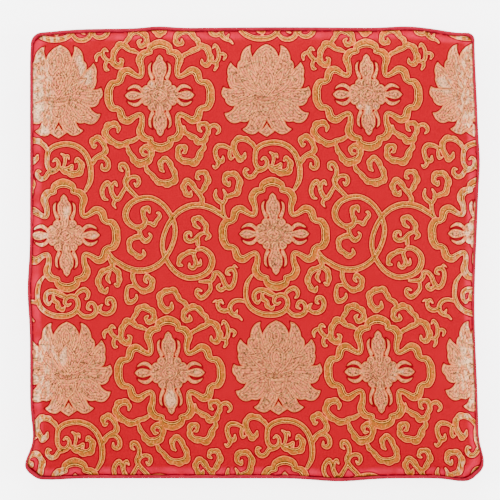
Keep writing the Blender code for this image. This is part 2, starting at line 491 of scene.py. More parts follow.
def carry(copy, movement, skin):
    """The coarse movement on the fine skin's top and boxing. The underside doesn't move."""
    carried = np.zeros_like(skin.points)
    across = smooth_steps(skin.cells + 1, copy.cells + 1)
    top = movement[:copy.starts[1]].reshape(copy.cells + 1, copy.cells + 1, 3)
    slow = slow_part(top)
    top = limited(SLOW_SHARE * slow + FINE_SHARE * (top - slow))
    top[[0, -1]] = top[:, [0, -1]] = 0
    carried[:skin.starts[1]] = np.einsum("ia,jb,abk->ijk", across, across, top).reshape(-1, 3)
    down = smooth_steps(skin.rows + 1, copy.rows + 1)
    along = smooth_steps(skin.around, copy.around, around=True)
    sides = limited(BOXING_SHARE * movement[copy.rings()])
    carried[skin.rings()[1:-1]] = np.einsum("ia,jb,abk->ijk", down, along, sides)[1:-1]
    return carried


pushed = carry(coarse, swelling, skin)
print("movement, mm:", (np.abs(pushed).max(axis=0) * 1000).round(2))

# %% [markdown]
# ## Gathers along the seams
#
# Where the cloth is eased into a seam it lies in small puckers that run in from the piping and
# die out within a couple of centimetres. Their lengths along the seam vary, so they are a few
# sines of the distance walked that don't fit each other. They are nothing on the seam itself.

# %% Gathers
GATHERS = (Wave(61, 0.3, 0.30), Wave(97, 1.1, 0.28), Wave(143, 2.5, 0.24), Wave(38, 4.0, 0.34))
# How strong they are on the average, and how that comes and goes
GATHER_MEAN, GATHER_SWELL = 0.7, (Wave(7, 0.8, 0.5),)
TOP_GATHER = 0.00075
TOP_REACH = 0.0050           # distance in from the seam at which the top's puckers are highest
BOXING_GATHER = 0.00050
BOXING_FADE = 5              # how fast they fade on the boxing, as powers of e to its width
LOWER_SHIFT = 2.0            # shift of the lower seam's gathers against those of the upper one


def lap_angle(walked):
    """Share of the lap that has been walked, as an angle."""
    return 2 * math.pi * walked / LAP_LENGTH


def gathers(walked, shift=0.0):
    """Sum of sines round the lap, times a slow sine that lets them come and go."""
    angle = lap_angle(walked)
    return waver(angle, GATHERS, shift) * (GATHER_MEAN + waver(angle, GATHER_SWELL, shift))


def top_gathers(place):
    """Height of the puckers on the top: they rise and fall with the distance in."""
    fade = rise_and_fall(HALF * (1 - reach(place)), TOP_REACH)
    return TOP_GATHER * fade * gathers(walked_to(edge_beyond(place)))


def boxing_gathers(down):
    """Move of the boxing's rings outwards, at shares of the way down. Each seam's gathers fade
    as an exponential, and a half sine holds both seams still."""
    upper = np.exp(-down * BOXING_FADE) * gathers(skin.walked)
    lower = np.exp(-(1 - down) * BOXING_FADE) * gathers(skin.walked, LOWER_SHIFT)
    bump = BOXING_GATHER * (upper + lower) * np.sin(math.pi * down)
    return -bump[..., None] * inward(skin.walked)


gathered = np.zeros_like(skin.points)
gathered[:skin.starts[1], 2] = top_gathers(skin.top)
gathered[skin.rings()[1:-1], :2] = boxing_gathers(np.linspace(0, 1, ROWS + 1)[1:-1, None])
cover_points = skin.points + pushed + gathered
print("gathers, mm:", round(np.ptp(gathered[:, 2]) * 1000, 2), "on the top")

# %% [markdown]
# ## Put the skin into a mesh
#
# The mesh gets two UV maps. One is the cloth itself in metres, which the threads of the weave
# follow. The other packs the patches side by side into one square: the top takes three quarters
# of it each way, the four lengths of the boxing lie above it, and the underside in the corner.

# %% Cover mesh
TOP_SHARE = 0.74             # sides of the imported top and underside, as shares of the square
UNDER_SHARE = 0.235
MARGIN = 0.005
PAST_TOP = TOP_SHARE + 3 * MARGIN
STRIP_PITCH = 0.060
STRIP_HEIGHT = 0.052


def add_map(piece, name, corners):
    """A UV map from one pair of numbers for each corner of each face, in the faces' order."""
    layer = piece.data.uv_layers.new(name=name)
    layer.uv.foreach_set("vector", np.ascontiguousarray(corners, dtype=np.float32).ravel())


def add_attribute(piece, name, values):
    """A number for each point of the mesh."""
    layer = piece.data.attributes.new(name, "FLOAT", "POINT")
    layer.data.foreach_set("value", np.ascontiguousarray(values, dtype=np.float32))


def boxing_corners():
    """Column and row of each corner of the boxing's faces, without wrapping at the lap's end."""
    row, column = np.divmod(np.arange(ROWS * skin.around), skin.around)
    columns = np.stack([column, column, column + 1, column + 1], axis=-1)
    rows = np.stack([row, row + 1, row + 1, row], axis=-1)
    return columns, rows


def packed_corners():
    """The patches laid side by side in the unit square."""
    top, _, fans, under = patches
    columns, rows = boxing_corners()
    side = columns[:, :1] // CELLS
    strip_x = MARGIN + TOP_SHARE * (columns - side * CELLS) / CELLS
    strip_y = PAST_TOP + STRIP_PITCH * side + STRIP_HEIGHT * (1 - rows / ROWS)
    square = skin.nominal / SIDE + 0.5
    top_uv = MARGIN + TOP_SHARE * square[top.ravel()]
    low = np.concatenate([fans.ravel(), under.ravel()])
    under_uv = (PAST_TOP, MARGIN) + UNDER_SHARE * square[low]
    boxing_uv = np.stack([strip_x, strip_y], axis=-1).reshape(-1, 2)
    return np.concatenate([top_uv, boxing_uv, under_uv])


def cloth_corners():
    """The cloth in metres: the panels' own plan, and the boxing's length and height."""
    top, _, fans, under = patches
    columns, rows = boxing_corners()
    length = columns * SIDE / CELLS
    height = rows * (TOP_SEAM_HEIGHT - BOTTOM_SEAM_HEIGHT) / ROWS
    boxing_uv = np.stack([length, height], axis=-1).reshape(-1, 2)
    low = np.concatenate([fans.ravel(), under.ravel()])
    return np.concatenate([skin.nominal[top.ravel()], boxing_uv, skin.nominal[low]])


cover = add_mesh("cushion_cover", cover_points, face_rows(patches))
add_map(cover, "OFBake", packed_corners())
add_map(cover, "cloth", cloth_corners())
finishes = np.repeat([0, 1, 2, 2], [len(patch) for patch in patches])
cover.data.polygons.foreach_set("material_index", finishes.astype(np.int32))
print("cover UV maps:", [layer.name for layer in cover.data.uv_layers])

# %% [markdown]
# ## Piping
#
# Piping is a cord wrapped in a strip of satin cut on the bias and sewn into the seam. It is a
# circle carried along the seam's line. The bias strip wrinkles slightly and slantwise as it goes
# round the cord, so the circle's radius has a faint wave that runs with both parameters.

# %% Piping
PIPING_RADIUS = 0.00225
PIPING_AROUND = 14
PIPING_LENGTHS = 1440
WRINKLE = 0.018              # share of the radius by which the strip's wrinkles rise and fall
SLANTED, COUNTER_SLANTED = (Wave(311, 0.0, 1.0),), (Wave(173, 2.0, 0.5),)
# How strong the first ones are on the average, and how that comes and goes
SLANTED_MEAN, SLANTED_SWELL = 0.6, (Wave(23, 1.0, 0.4),)


def piping_surface(walked, turn, seam_height):
    """A circle in the plane across the seam. Its radius is waved by two sets of wrinkles, which
    slant the one way and the other because they shift with the turn round the cord."""
    centre = rim(walked, PIPING_RADIUS)
    angle = lap_angle(walked)
    wrinkles = waver(angle, SLANTED, 2 * turn) * (SLANTED_MEAN + waver(angle, SLANTED_SWELL))
    wrinkles += waver(angle, COUNTER_SLANTED, -turn)
    radius = PIPING_RADIUS * (1 + WRINKLE * wrinkles)
    plan_xy = centre - inward(walked) * (radius * np.cos(turn))[..., None]
    height = seam_height + seam_waver(centre) + radius * np.sin(turn)
    return np.concatenate([plan_xy, height[..., None]], axis=-1)


def add_piping(name, seam_height):
    """The tube as a closed grid: lengths along the seam by steps round the cord."""
    column, row = np.indices((PIPING_LENGTHS, PIPING_AROUND))
    walked = column * (LAP_LENGTH / PIPING_LENGTHS)
    turn = row * (2 * math.pi / PIPING_AROUND)
    points = piping_surface(walked, turn, seam_height).reshape(-1, 3)
    index = np.arange(len(points)).reshape(PIPING_LENGTHS, PIPING_AROUND)
    ahead, up = np.roll(index, -1, axis=0), np.roll(index, -1, axis=1)
    both = np.roll(ahead, -1, axis=1)
    faces = np.stack([index, ahead, both, up], axis=-1).reshape(-1, 4)
    piece = add_mesh(name, points, faces.tolist())
    columns = np.stack([column, column + 1, column + 1, column], axis=-1) / PIPING_LENGTHS
    rows = np.stack([row, row, row + 1, row + 1], axis=-1) / PIPING_AROUND
    size = (LAP_LENGTH, 2 * math.pi * PIPING_RADIUS)
    add_map(piece, "cloth", (np.stack([columns, rows], axis=-1) * size).reshape(-1, 2))
    return piece


piping = [
    add_piping("piping_at_top", TOP_SEAM_HEIGHT),
    add_piping("piping_at_underside", BOTTOM_SEAM_HEIGHT),
]
print("piping:", [len(piece.data.polygons) for piece in piping], "faces")

# %% [markdown]
# ## How the brocade's pattern is drawn
#
# The pattern is woven in gold and peach thread on red satin: lotus flowers, crossed ritual
# bells in lobed rings, and curling vines between them, which are all traditional figures. It
# could be painted as an image, but here it is drawn as a weaver charts it, with a few points for
# each stroke. For every point of the top the script then works out how deep it lies inside the
# nearest stroke or petal. Those depths are stored on the mesh, and the material turns them into
# outlines, stripes and fillings. All measures of the chart are in millimetres. A stroke is a
# smooth line through its points with a half width along it, like a leaf drawn with a brush.

# %% Strokes
Stroke = namedtuple("Stroke", "path half gold lobes")
LOBE_PITCH = 7.5
LOBE_RISE = 0.42             # share by which a vine's lobes swell its gold side
USUAL_HALF = 4.0             # half width at which the stripes have their full size
LINE_STEPS = 10              # steps from one charted point to the next, on strokes and petals
PETAL_STEPS = 6


def smooth_line(points, steps):
    """Line through the points by the Catmull-Rom rule, each span in equal steps."""
    p = np.array(points, float)
    p = np.vstack([2 * p[0] - p[1], p, 2 * p[-1] - p[-2]])
    before, start, end, after = (p[i:len(p) - 3 + i, None] for i in range(4))
    t = np.linspace(0, 1, steps, endpoint=False)[None, :, None]
    spans = 0.5 * (2 * start + (end - before) * t
                   + (2 * before - 5 * start + 4 * end - after) * t ** 2
                   + (3 * start - before - 3 * end + after) * t ** 3)
    return np.vstack([spans.reshape(-1, 2), p[-2]])


def outer_side(line):
    """1 where the outer side of a line's bends is its left, and -1 where it is its right."""
    ahead = np.diff(line, axis=0)
    turning = ahead[:-1, 0] * ahead[1:, 1] - ahead[:-1, 1] * ahead[1:, 0]
    return -1 if turning.sum() > 0 else 1


def stroke(rows, lobed=False, gold=None, at=(0, 0), flip=1, mirror=1):
    """A band along a line, from rows of two coordinates and the half width there. Its gold is on
    the outer side of its bend unless the side is given, 1 for the left. It may have lobes along
    its outer edge. flip -1 turns it half round its centre, and mirror -1 mirrors it left to
    right."""
    rows = np.array(rows, float)
    line = smooth_line(rows[:, :2], LINE_STEPS) * (mirror * flip, flip)
    half = np.interp(np.linspace(0, 1, len(line)), np.linspace(0, 1, len(rows)), rows[:, 2])
    length = np.linalg.norm(np.diff(line, axis=0), axis=1).sum()
    lobes = round(length / LOBE_PITCH) if lobed else 0
    return Stroke(line + at, half, gold * mirror if gold else outer_side(line), lobes)


sample = stroke([(0, 0, 2), (0, 30, 2)], lobed=True)
print("30 mm of vine:", len(sample.path), "points,", sample.lobes, "lobes")

# %% [markdown]
# ## Depth inside a stroke or a petal
#
# How deep a place lies comes from the nearest point on a line. In a stroke it is the half width
# there less the distance, and the side of the line on which the place lies tells the way across.
# In a closed petal it is the distance to the edge, and a place is inside where a level line from
# it crosses the edge an odd number of times.

# %% Depth inside a line
def nearest_on(path, place):
    """For each place, the nearest segment of a path, the share along it, and the vector to it."""
    start, span = path[:-1], np.diff(path, axis=0)
    size = np.maximum((span ** 2).sum(axis=1), NEVER_ZERO)
    offset = place[:, None] - start
    share = ((offset * span).sum(axis=2) / size).clip(0, 1)
    rest = offset - share[..., None] * span
    pick = (rest ** 2).sum(axis=2).argmin(axis=1)
    rows = np.arange(len(place))
    return pick, share[rows, pick], rest[rows, pick], span[pick]


def stroke_depth(item, place):
    """Depth inside the stroke's edge, and the way across it from the edge without the gold."""
    pick, share, rest, span = nearest_on(item.path, place)
    side = np.sign(span[:, 0] * rest[:, 1] - span[:, 1] * rest[:, 0]) * item.gold
    half = (1 - share) * item.half[pick] + share * item.half[pick + 1]
    lobe = np.abs(np.sin(math.pi * item.lobes * (pick + share) / len(item.path)))
    half = half * (1 + LOBE_RISE * lobe * (side > 0))
    distance = np.linalg.norm(rest, axis=1)
    return half - distance, (half + side * distance) * np.sqrt(USUAL_HALF / half)


def petal_depth(closed, place):
    """Distance to a closed outline, counted positive where the place is inside it."""
    start, end = closed[:-1], closed[1:]
    rest = nearest_on(closed, place)[2]
    x, y = place[:, :1], place[:, 1:]
    spans = (start[:, 1] > y) != (end[:, 1] > y)
    rise = np.where(end[:, 1] == start[:, 1], 1.0, end[:, 1] - start[:, 1])
    crossing = start[:, 0] + (y - start[:, 1]) * (end[:, 0] - start[:, 0]) / rise
    inside = (spans & (x < crossing)).sum(axis=1) % 2 == 1
    return np.where(inside, 1, -1) * np.linalg.norm(rest, axis=1)


across_sample = np.array([(way, 15.0) for way in (-3, -2, -1, 0, 1, 2, 3)])
print("depths across it, mm:", stroke_depth(sample, across_sample)[0].round(1))

# %% [markdown]
# ## The chart of the pattern
#
# The pattern repeats every 209 by 276 mm. The cloth lies a little askew, as it does when it is
# cut and sewn by hand, so the columns lean and bow, the rows tilt, and the front and back seams
# pull the cloth a few millimetres sideways. In one repeat there are a lotus, two lobed
# rings with crossed bells in them, and the place where two great circles meet. What repeats is
# charted once. A place on the cushion is first carried to its place on the flat cloth, and then
# by whole repeats to where the chart lies. Strokes run together where they meet, like ink, and
# petals lie over each other, like paper.

# %% Repeat and centres
REPEAT = np.array([209.2, 276.4])
LOTUS = (0.0, 0.0)
RING_A = (-107.2, -4.5)
RING_B = (3.0, -143.3)
LINK = (-102.5, -146.7)
CLOTH_ORIGIN = (17.64, 163.15)
# How askew the cloth lies: mm, for places in hundreds of mm from the cushion's middle
LEAN, BOW, FAN_OUT, WIDEN = 4.686, 0.477, 0.230, 0.212
TILT, CUP = 0.498, 0.124
PULL_FROM = 0.8              # where the pull of the front and back seams begins
FRONT_PULL, FRONT_DROP = 2.243, 1.406
BACK_PULL, BACK_FAN = 0.644, 0.474
# How far beyond its points a stroke or a petal is looked for, and the depth away from all
STROKE_REACH, PETAL_REACH = 9.0, 4.0
OUTSIDE = -30.0


def cloth_place(plan_mm):
    """Place on the cloth, measured from one lotus, for a place on the cushion. The columns lean
    by an amount that bows towards the front and back and grows from one side to the other. The
    rows tilt and cup a little. Near the front and back seams the cloth is pulled sideways by the
    square of the distance from where the pull begins, and at the front also outwards."""
    x, y = plan_mm[:, 0] / 100, plan_mm[:, 1] / 100
    front, back = np.maximum(-y - PULL_FROM, 0) ** 2, np.maximum(y - PULL_FROM, 0) ** 2
    slant = LEAN * y - BOW * y ** 3 + FAN_OUT * x * y + WIDEN * x
    slant = slant - FRONT_PULL * front + (BACK_PULL + BACK_FAN * x) * back
    sink = CUP * x ** 2 - TILT * x + FRONT_DROP * front
    return plan_mm - CLOTH_ORIGIN + np.stack([slant, sink], axis=1)


def near(place, path, extra):
    """Which places have a copy of the path near them, and where they lie beside the path as it
    is charted: whole repeats are taken off."""
    low, high = path.min(axis=0) - extra, path.max(axis=0) + extra
    middle = (low + high) / 2
    folded = (place - middle + REPEAT / 2) % REPEAT - REPEAT / 2 + middle
    chosen = np.flatnonzero(((folded > low) & (folded < high)).all(axis=1))
    return chosen, folded[chosen]


def run_together(strokes, place):
    """Depth and way across where strokes run into each other: the deepest one counts."""
    depth, across = np.full(len(place), OUTSIDE), np.zeros(len(place))
    for item in strokes:
        chosen, folded = near(place, item.path, STROKE_REACH)
        inside, way = stroke_depth(item, folded)
        deeper = inside > depth[chosen]
        depth[chosen[deeper]] = inside[deeper]
        across[chosen[deeper]] = way[deeper]
    return depth, across


def lie_over(petals, place):
    """Depth inside a flower, and inside the topmost of its petals: the last one lies on top."""
    depth, petal = np.full(len(place), OUTSIDE), np.zeros(len(place))
    for closed in petals:
        chosen, folded = near(place, closed, PETAL_REACH)
        inside = petal_depth(closed, folded)
        on = inside > 0
        petal[chosen[on]] = inside[on]
        depth[chosen] = np.maximum(depth[chosen], inside)
    return depth, petal


print("repeats on the top:", (SIDE * 1000 / REPEAT).round(1))

# %% [markdown]
# ## Lobed rings
#
# Each ring is a band of twelve lobes round the crossed bells: four crests, and two lobes in each
# quarter between them. One line of points is charted for the upper crest, one for the crest at
# the right and one for a quarter, and flipping and mirroring them gives the rest. A row of a
# line holds the two coordinates of a point and half the band's width there.

# %% Rings
RING_CREST = (
    (-10.5, 43.8, 2.8), (-8.4, 49.2, 4), (0, 52.3, 4.7), (8.4, 49.2, 4), (10.5, 43.8, 2.8),
)
RING_SIDE = (
    (42, 13, 2.8), (47.6, 12, 3.9), (50.9, 6, 4.2), (51.2, 0, 4.3), (50.9, -6, 4.2),
    (47.6, -12, 3.9), (42, -13, 2.8),
)
RING_QUARTER = (
    (9.6, 43.6, 2.8), (16.4, 42.2, 4.1), (20.2, 36, 4.1), (18.2, 28, 3.1), (18, 21.6, 2.7),
    (20.2, 19, 2.6), (25, 20.8, 2.8), (32, 25, 4), (37.6, 22.6, 4.3), (39.8, 15.6, 3.8),
    (42.6, 12.4, 2.7),
)


def ring_strokes(at):
    """A ring of lobes: four crests, and between them four quarters of two lobes each."""
    lines = ((RING_CREST, 1), (RING_SIDE, 1), (RING_QUARTER, 1), (RING_QUARTER, -1))
    return [stroke(rows, gold=1, at=at, flip=flip, mirror=mirror)
            for flip in (1, -1) for rows, mirror in lines]


print("ring:", len(ring_strokes(RING_A)), "strokes")

# %% [markdown]
# ## Lotus and crossed bells
#
# A woven flower is built of petals that lie over each other, and the bells can be drawn in the
# same way. A petal is a closed outline of a few smooth edges that meet in corners, at its tip
# and at its root. Petals that face each other are charted once and laid in two or four ways.
# The order counts, because each petal hides what lies under it.

# %% Petals
# Ways to lay a charted petal: two signs, of which -1 mirrors it left to right or front to back
ONCE = ((1, 1),)
BOTH_SIDES = ((1, 1), (-1, 1))
BOTH_ENDS = ((1, 1), (1, -1))
FOUR_WAYS = ((1, 1), (1, -1), (-1, 1), (-1, -1))


def petal(edges, at, mirror, flip):
    """A closed outline from smooth edges, with a corner wherever one edge meets the next."""
    line = np.vstack([smooth_line(edge, PETAL_STEPS) for edge in edges])
    return np.vstack([line, line[:1]]) * (mirror, flip) + at


def flower_petals(layers, at):
    """All petals of a flower at a place. Its layers go from the back to the front, and each has
    its charted petals and the ways in which they are laid."""
    return [petal(edges, at, *way) for charted, ways in layers for edges in charted for way in ways]


# %% Lotus
# From the back petals to the front ones: a petal of a pair has the edge out to its tip and one
# or two edges back
LOTUS_PAIRS = (
    (((-4, 8), (-9, 20), (-12.4, 31), (-14.2, 37), (-15.2, 41.5), (-14.5, 46)),
     ((-14.5, 46), (-19, 44.2), (-22.8, 40.2), (-24.9, 35), (-25.4, 30.6)),
     ((-25.4, 30.6), (-27.8, 28.3), (-28.7, 24.8), (-28, 21.2), (-24, 14), (-15, 6))),
    (((-12, 4), (-22, 14), (-28.4, 21.4), (-32.6, 25.2), (-35.4, 28.8)),
     ((-35.4, 28.8), (-38.2, 23.4), (-39.0, 18.7), (-38.2, 14)),
     ((-38.2, 14), (-38.9, 10.6), (-37.7, 6), (-35.4, 2.4), (-26, -1), (-14, -4))),
    (((-14, 3), (-26, 2), (-35.6, 1.8), (-40.2, 2.4), (-43.0, 4.2)),
     ((-43.0, 4.2), (-45, -1.4), (-44.4, -5.4), (-41.6, -8.7)),
     ((-41.6, -8.7), (-40.6, -12.1), (-37.3, -15.1), (-33.5, -15.9), (-31, -15), (-20, -12),
      (-10, -8))),
    (((-12, -5), (-22, -9), (-30.8, -14.6), (-34, -18.8), (-38.1, -21.8), (-42.6, -22.5)),
     ((-42.6, -22.5), (-41.4, -26), (-39.2, -29.5), (-35.3, -32.5), (-30.6, -32.9), (-26.5, -31.3)),
     ((-26.5, -31.3), (-22.5, -31.9), (-18.6, -30.6), (-12, -24), (-6, -14))),
    (((-7, -12), (-13, -22), (-17.6, -30.4), (-20.5, -35.8), (-25.3, -38.9)),
     ((-25.3, -38.9), (-22.3, -41.3), (-19, -43.3), (-15.1, -44.2), (-11.6, -43.3), (-8.8, -41.2)),
     ((-8.8, -41.2), (-4.8, -38.5), (-2.7, -34.8), (-0.2, -29.8), (0.4, -20), (0.4, -12))),
)
LOTUS_BODY = (
    (((-22, 4), (-19, 17), (0, 24), (19, 17), (22, 4)),
     ((22, 4), (17, -14), (0, -24), (-17, -14), (-22, 4))),
)
LOTUS_MIDDLE = (
    (((-0.2, -32.4), (-2.4, -36.4), (-5.0, -38.6), (-9.4, -41.0)),
     ((-9.4, -41.0), (-5, -44.1), (-0.6, -46.8)),
     ((-0.6, -46.8), (3.4, -44.1), (8.2, -41.0)),
     ((8.2, -41.0), (4.2, -38.6), (2.0, -36.4), (-0.2, -32.4))),
    (((0, 2), (-7, 14), (-12, 26), (-12.8, 34), (-10.2, 39), (-5.8, 43.6), (1, 47.2)),
     ((1, 47.2), (6.4, 44.4), (10.4, 40.4), (12.9, 34), (12, 26), (7, 14), (0, 2))),
)
LOTUS_FRONT_PAIRS = (
    (((-3, 12), (-8.5, 24), (-9.8, 33), (-6.6, 40.4)),
     ((-6.6, 40.4), (-3.4, 34), (-3, 24), (-1, 12))),
    (((-2, -8), (-17, -2), (-26, 7), (-29.5, 14)),
     ((-29.5, 14), (-20, 12.6), (-9, 7), (2, -6))),
    (((-2, -8), (-12.5, 4), (-18.5, 16), (-19.5, 26)),
     ((-19.5, 26), (-10.5, 17.6), (-3.5, 7), (2, -8))),
)
LOTUS_FRONT = (
    (((0.5, 14), (-4.8, 27), (-5.4, 35), (0.6, 43)), ((0.6, 43), (6, 35), (5.4, 27), (0.5, 14))),
    (((0, -8), (-8.4, 4), (-8.6, 15), (0.2, 27)), ((0.2, 27), (8.8, 15), (8.4, 4), (0, -8))),
    (((-9.8, -11), (-9.4, -18), (-6.2, -25), (-0.3, -29)),
     ((-0.3, -29), (5.6, -25), (8.8, -18), (9.2, -11), (0, -12), (-9.8, -11))),
    (((-15, -6.5), (-8, -9.2), (0, -10), (8, -9.2), (15, -6.5)),
     ((15, -6.5), (8.5, -12.4), (0, -14), (-8.5, -12.4), (-15, -6.5))),
)
LOTUS_LAYERS = (
    (LOTUS_BODY, ONCE),
    (LOTUS_PAIRS, BOTH_SIDES),
    (LOTUS_MIDDLE, ONCE),
    (LOTUS_FRONT_PAIRS, BOTH_SIDES),
    (LOTUS_FRONT, ONCE),
)
print("petals of a lotus:", len(flower_petals(LOTUS_LAYERS, LOTUS)))

# %% Crossed bells
# Crescents and scallops in each quarter, over a body, and then the spindles and the centre
BELL_QUARTERS = (
    (((7.6, 33.9), (11.1, 30.7), (11.8, 26.2), (11.0, 21.2), (8.4, 14.6)),
     ((8.4, 14.6), (5.4, 17.4), (7.0, 21), (8.7, 24.6), (8.9, 29), (7.6, 33.9))),
    (((33.0, 4.9), (31.2, 8.2), (25.8, 11.1), (21.0, 10.4), (16.6, 6.4)),
     ((16.6, 6.4), (18.6, 3.4), (21.6, 6.2), (25.8, 7.4), (29.8, 6.5), (33.0, 4.9))),
    (((6.5, 15.8), (9.6, 15.2), (12.0, 12.6), (11.9, 9.4)),
     ((11.9, 9.4), (6, 6), (4, 12), (6.5, 15.8))),
    (((11.6, 9.8), (14.4, 10.2), (16.9, 8.2), (17.6, 5.6)),
     ((17.6, 5.6), (10, 3), (8, 6), (11.6, 9.8))),
)
BELL_MIDDLE = (
    (((0, 18), (-9.8, 12.5), (-16.6, 6), (-20, 0)),
     ((-20, 0), (-16.6, -6), (-9.8, -12.5), (0, -18)),
     ((0, -18), (9.8, -12.5), (16.6, -6), (20, 0)),
     ((20, 0), (16.6, 6), (9.8, 12.5), (0, 18))),
)
BELL_UPRIGHT = (
    (((-3.6, 9), (-4.7, 18), (-6.7, 22), (-7.2, 27), (-6.4, 31.6), (-4.0, 34.8), (-3.2, 38),
      (0, 41.4)),
     ((0, 41.4), (3.2, 38), (4.0, 34.8), (6.4, 31.6), (7.2, 27), (6.7, 22), (4.7, 18),
      (3.6, 9), (0, 7), (-3.6, 9))),
)
BELL_LEVEL = (
    (((11, 2.8), (18.6, 2.6), (22.4, 3.7), (27, 4.6), (31.6, 3.5), (35.4, 0)),
     ((35.4, 0), (31.6, -3.5), (27, -4.6), (22.4, -3.7), (18.6, -2.6), (11, -2.8),
      (9, 0), (11, 2.8))),
)
BELL_CENTRE = (
    (((0, 8.5), (-7, 3.5), (-8.5, 0)), ((-8.5, 0), (-7, -3.5), (0, -8.5)),
     ((0, -8.5), (7, -3.5), (8.5, 0)), ((8.5, 0), (7, 3.5), (0, 8.5))),
)
BELL_LAYERS = (
    (BELL_MIDDLE, ONCE),
    (BELL_QUARTERS, FOUR_WAYS),
    (BELL_UPRIGHT, BOTH_ENDS),
    (BELL_LEVEL, BOTH_SIDES),
    (BELL_CENTRE, ONCE),
)
print("petals of the bells:", len(flower_petals(BELL_LAYERS, RING_A)))

# %% [markdown]
# ## Vines
#
# The vines branch off the rings and the great circles and curl into the spaces between them.
# They follow no rule, so each branch is charted from its root to its tip, in rows like those of
# the rings. Many are lobed along the outer side of their bends, as leaves are. A circle is
# charted once and comes twice, turned half round the place where the two meet.

# %% Vines
def vine(*rows, lobed=False):
    """One charted vine: coordinates and half widths, and whether its outer edge is lobed."""
    return {"rows": rows, "lobed": lobed}


# %% Vines in front of the first ring
VINES_UNDER_A = (
    vine((-22.4, -42, 2), (-28.7, -44.9, 2.2), (-33.1, -46.1, 2.6), (-38, -48.7, 3),
         (-43.2, -48.2, 3.1), (-48.4, -45.3, 3.1), (-53.1, -41, 3.2), (-54.9, -36.2, 3),
         (-52.9, -31.5, 3.3), (-49, -29.1, 3.3), (-44.7, -29.1, 2.9), (-42.2, -31.9, 2.3),
         (-42.6, -36.5, 1.2), lobed=True),
    vine((-33.2, -51.1, 2), (-31, -56.8, 2.4), (-27.8, -61.6, 3), (-25.5, -65.4, 3.5),
         (-20.8, -67.1, 3.7), (-14.9, -65.4, 3.5), (-11, -61.6, 3.1), (-10.3, -55.9, 3),
         (-13.1, -52.2, 2.7), (-16.9, -52.2, 2.5), (-18.9, -55.4, 2.1), (-17.6, -58.7, 1.8),
         (-14.7, -58.9, 1.2), lobed=True),
    vine((-15.6, -71.2, 2.1), (-12.9, -75.9, 2.3), (-8.7, -79.8, 2.4), (-5.1, -84.6, 2.9),
         (-0.4, -86.9, 3), (5.4, -87.4, 3.6), (11.2, -85.5, 3.6), (13.3, -80.7, 2.8),
         (11.6, -75, 2.7), (8.9, -69.2, 2.6), (6.2, -64.7, 2.7), (2.4, -64.2, 2.7),
         (-0.2, -67.8, 2.6), (0.1, -73.1, 2.3), (2.4, -76.1, 1.2), lobed=True),
    vine((24, -31, 1.2), (25.3, -36.7, 2.3), (30, -40.1, 2.7), (34.7, -42.5, 2.9),
         (38.4, -46.1, 3.2), (43.3, -45.1, 2.9), (45.8, -40.5, 2.5), (47.9, -35.8, 2.3),
         (47, -30.5, 2.3), (43.2, -28.6, 2.5), (39.3, -30.2, 2.1), (39.2, -34.1, 1.8),
         (41.4, -36.3, 1.2), lobed=True),
    vine((48.3, -35.3, 1.7), (50.8, -31.2, 2.1), (55.2, -30.2, 2.5), (58.5, -32.9, 2.5),
         (58.9, -36.5, 1.8), (56.4, -38.8, 1.2)),
    vine((43.2, -48.2, 1.7), (42.6, -53, 2.5), (39, -57.8, 3.1), (36.9, -63.5, 3.3),
         (32, -66.9, 3.5), (26.3, -65.6, 3.1), (20.6, -64.5, 3.1), (17.9, -59.7, 2.9),
         (18, -54.1, 2.7), (21.5, -51.3, 2.5), (24.8, -52.7, 2.1), (24.2, -56.4, 1.8),
         (22, -57.4, 1.2), lobed=True),
)
print("charted:", len(VINES_UNDER_A), "lines")

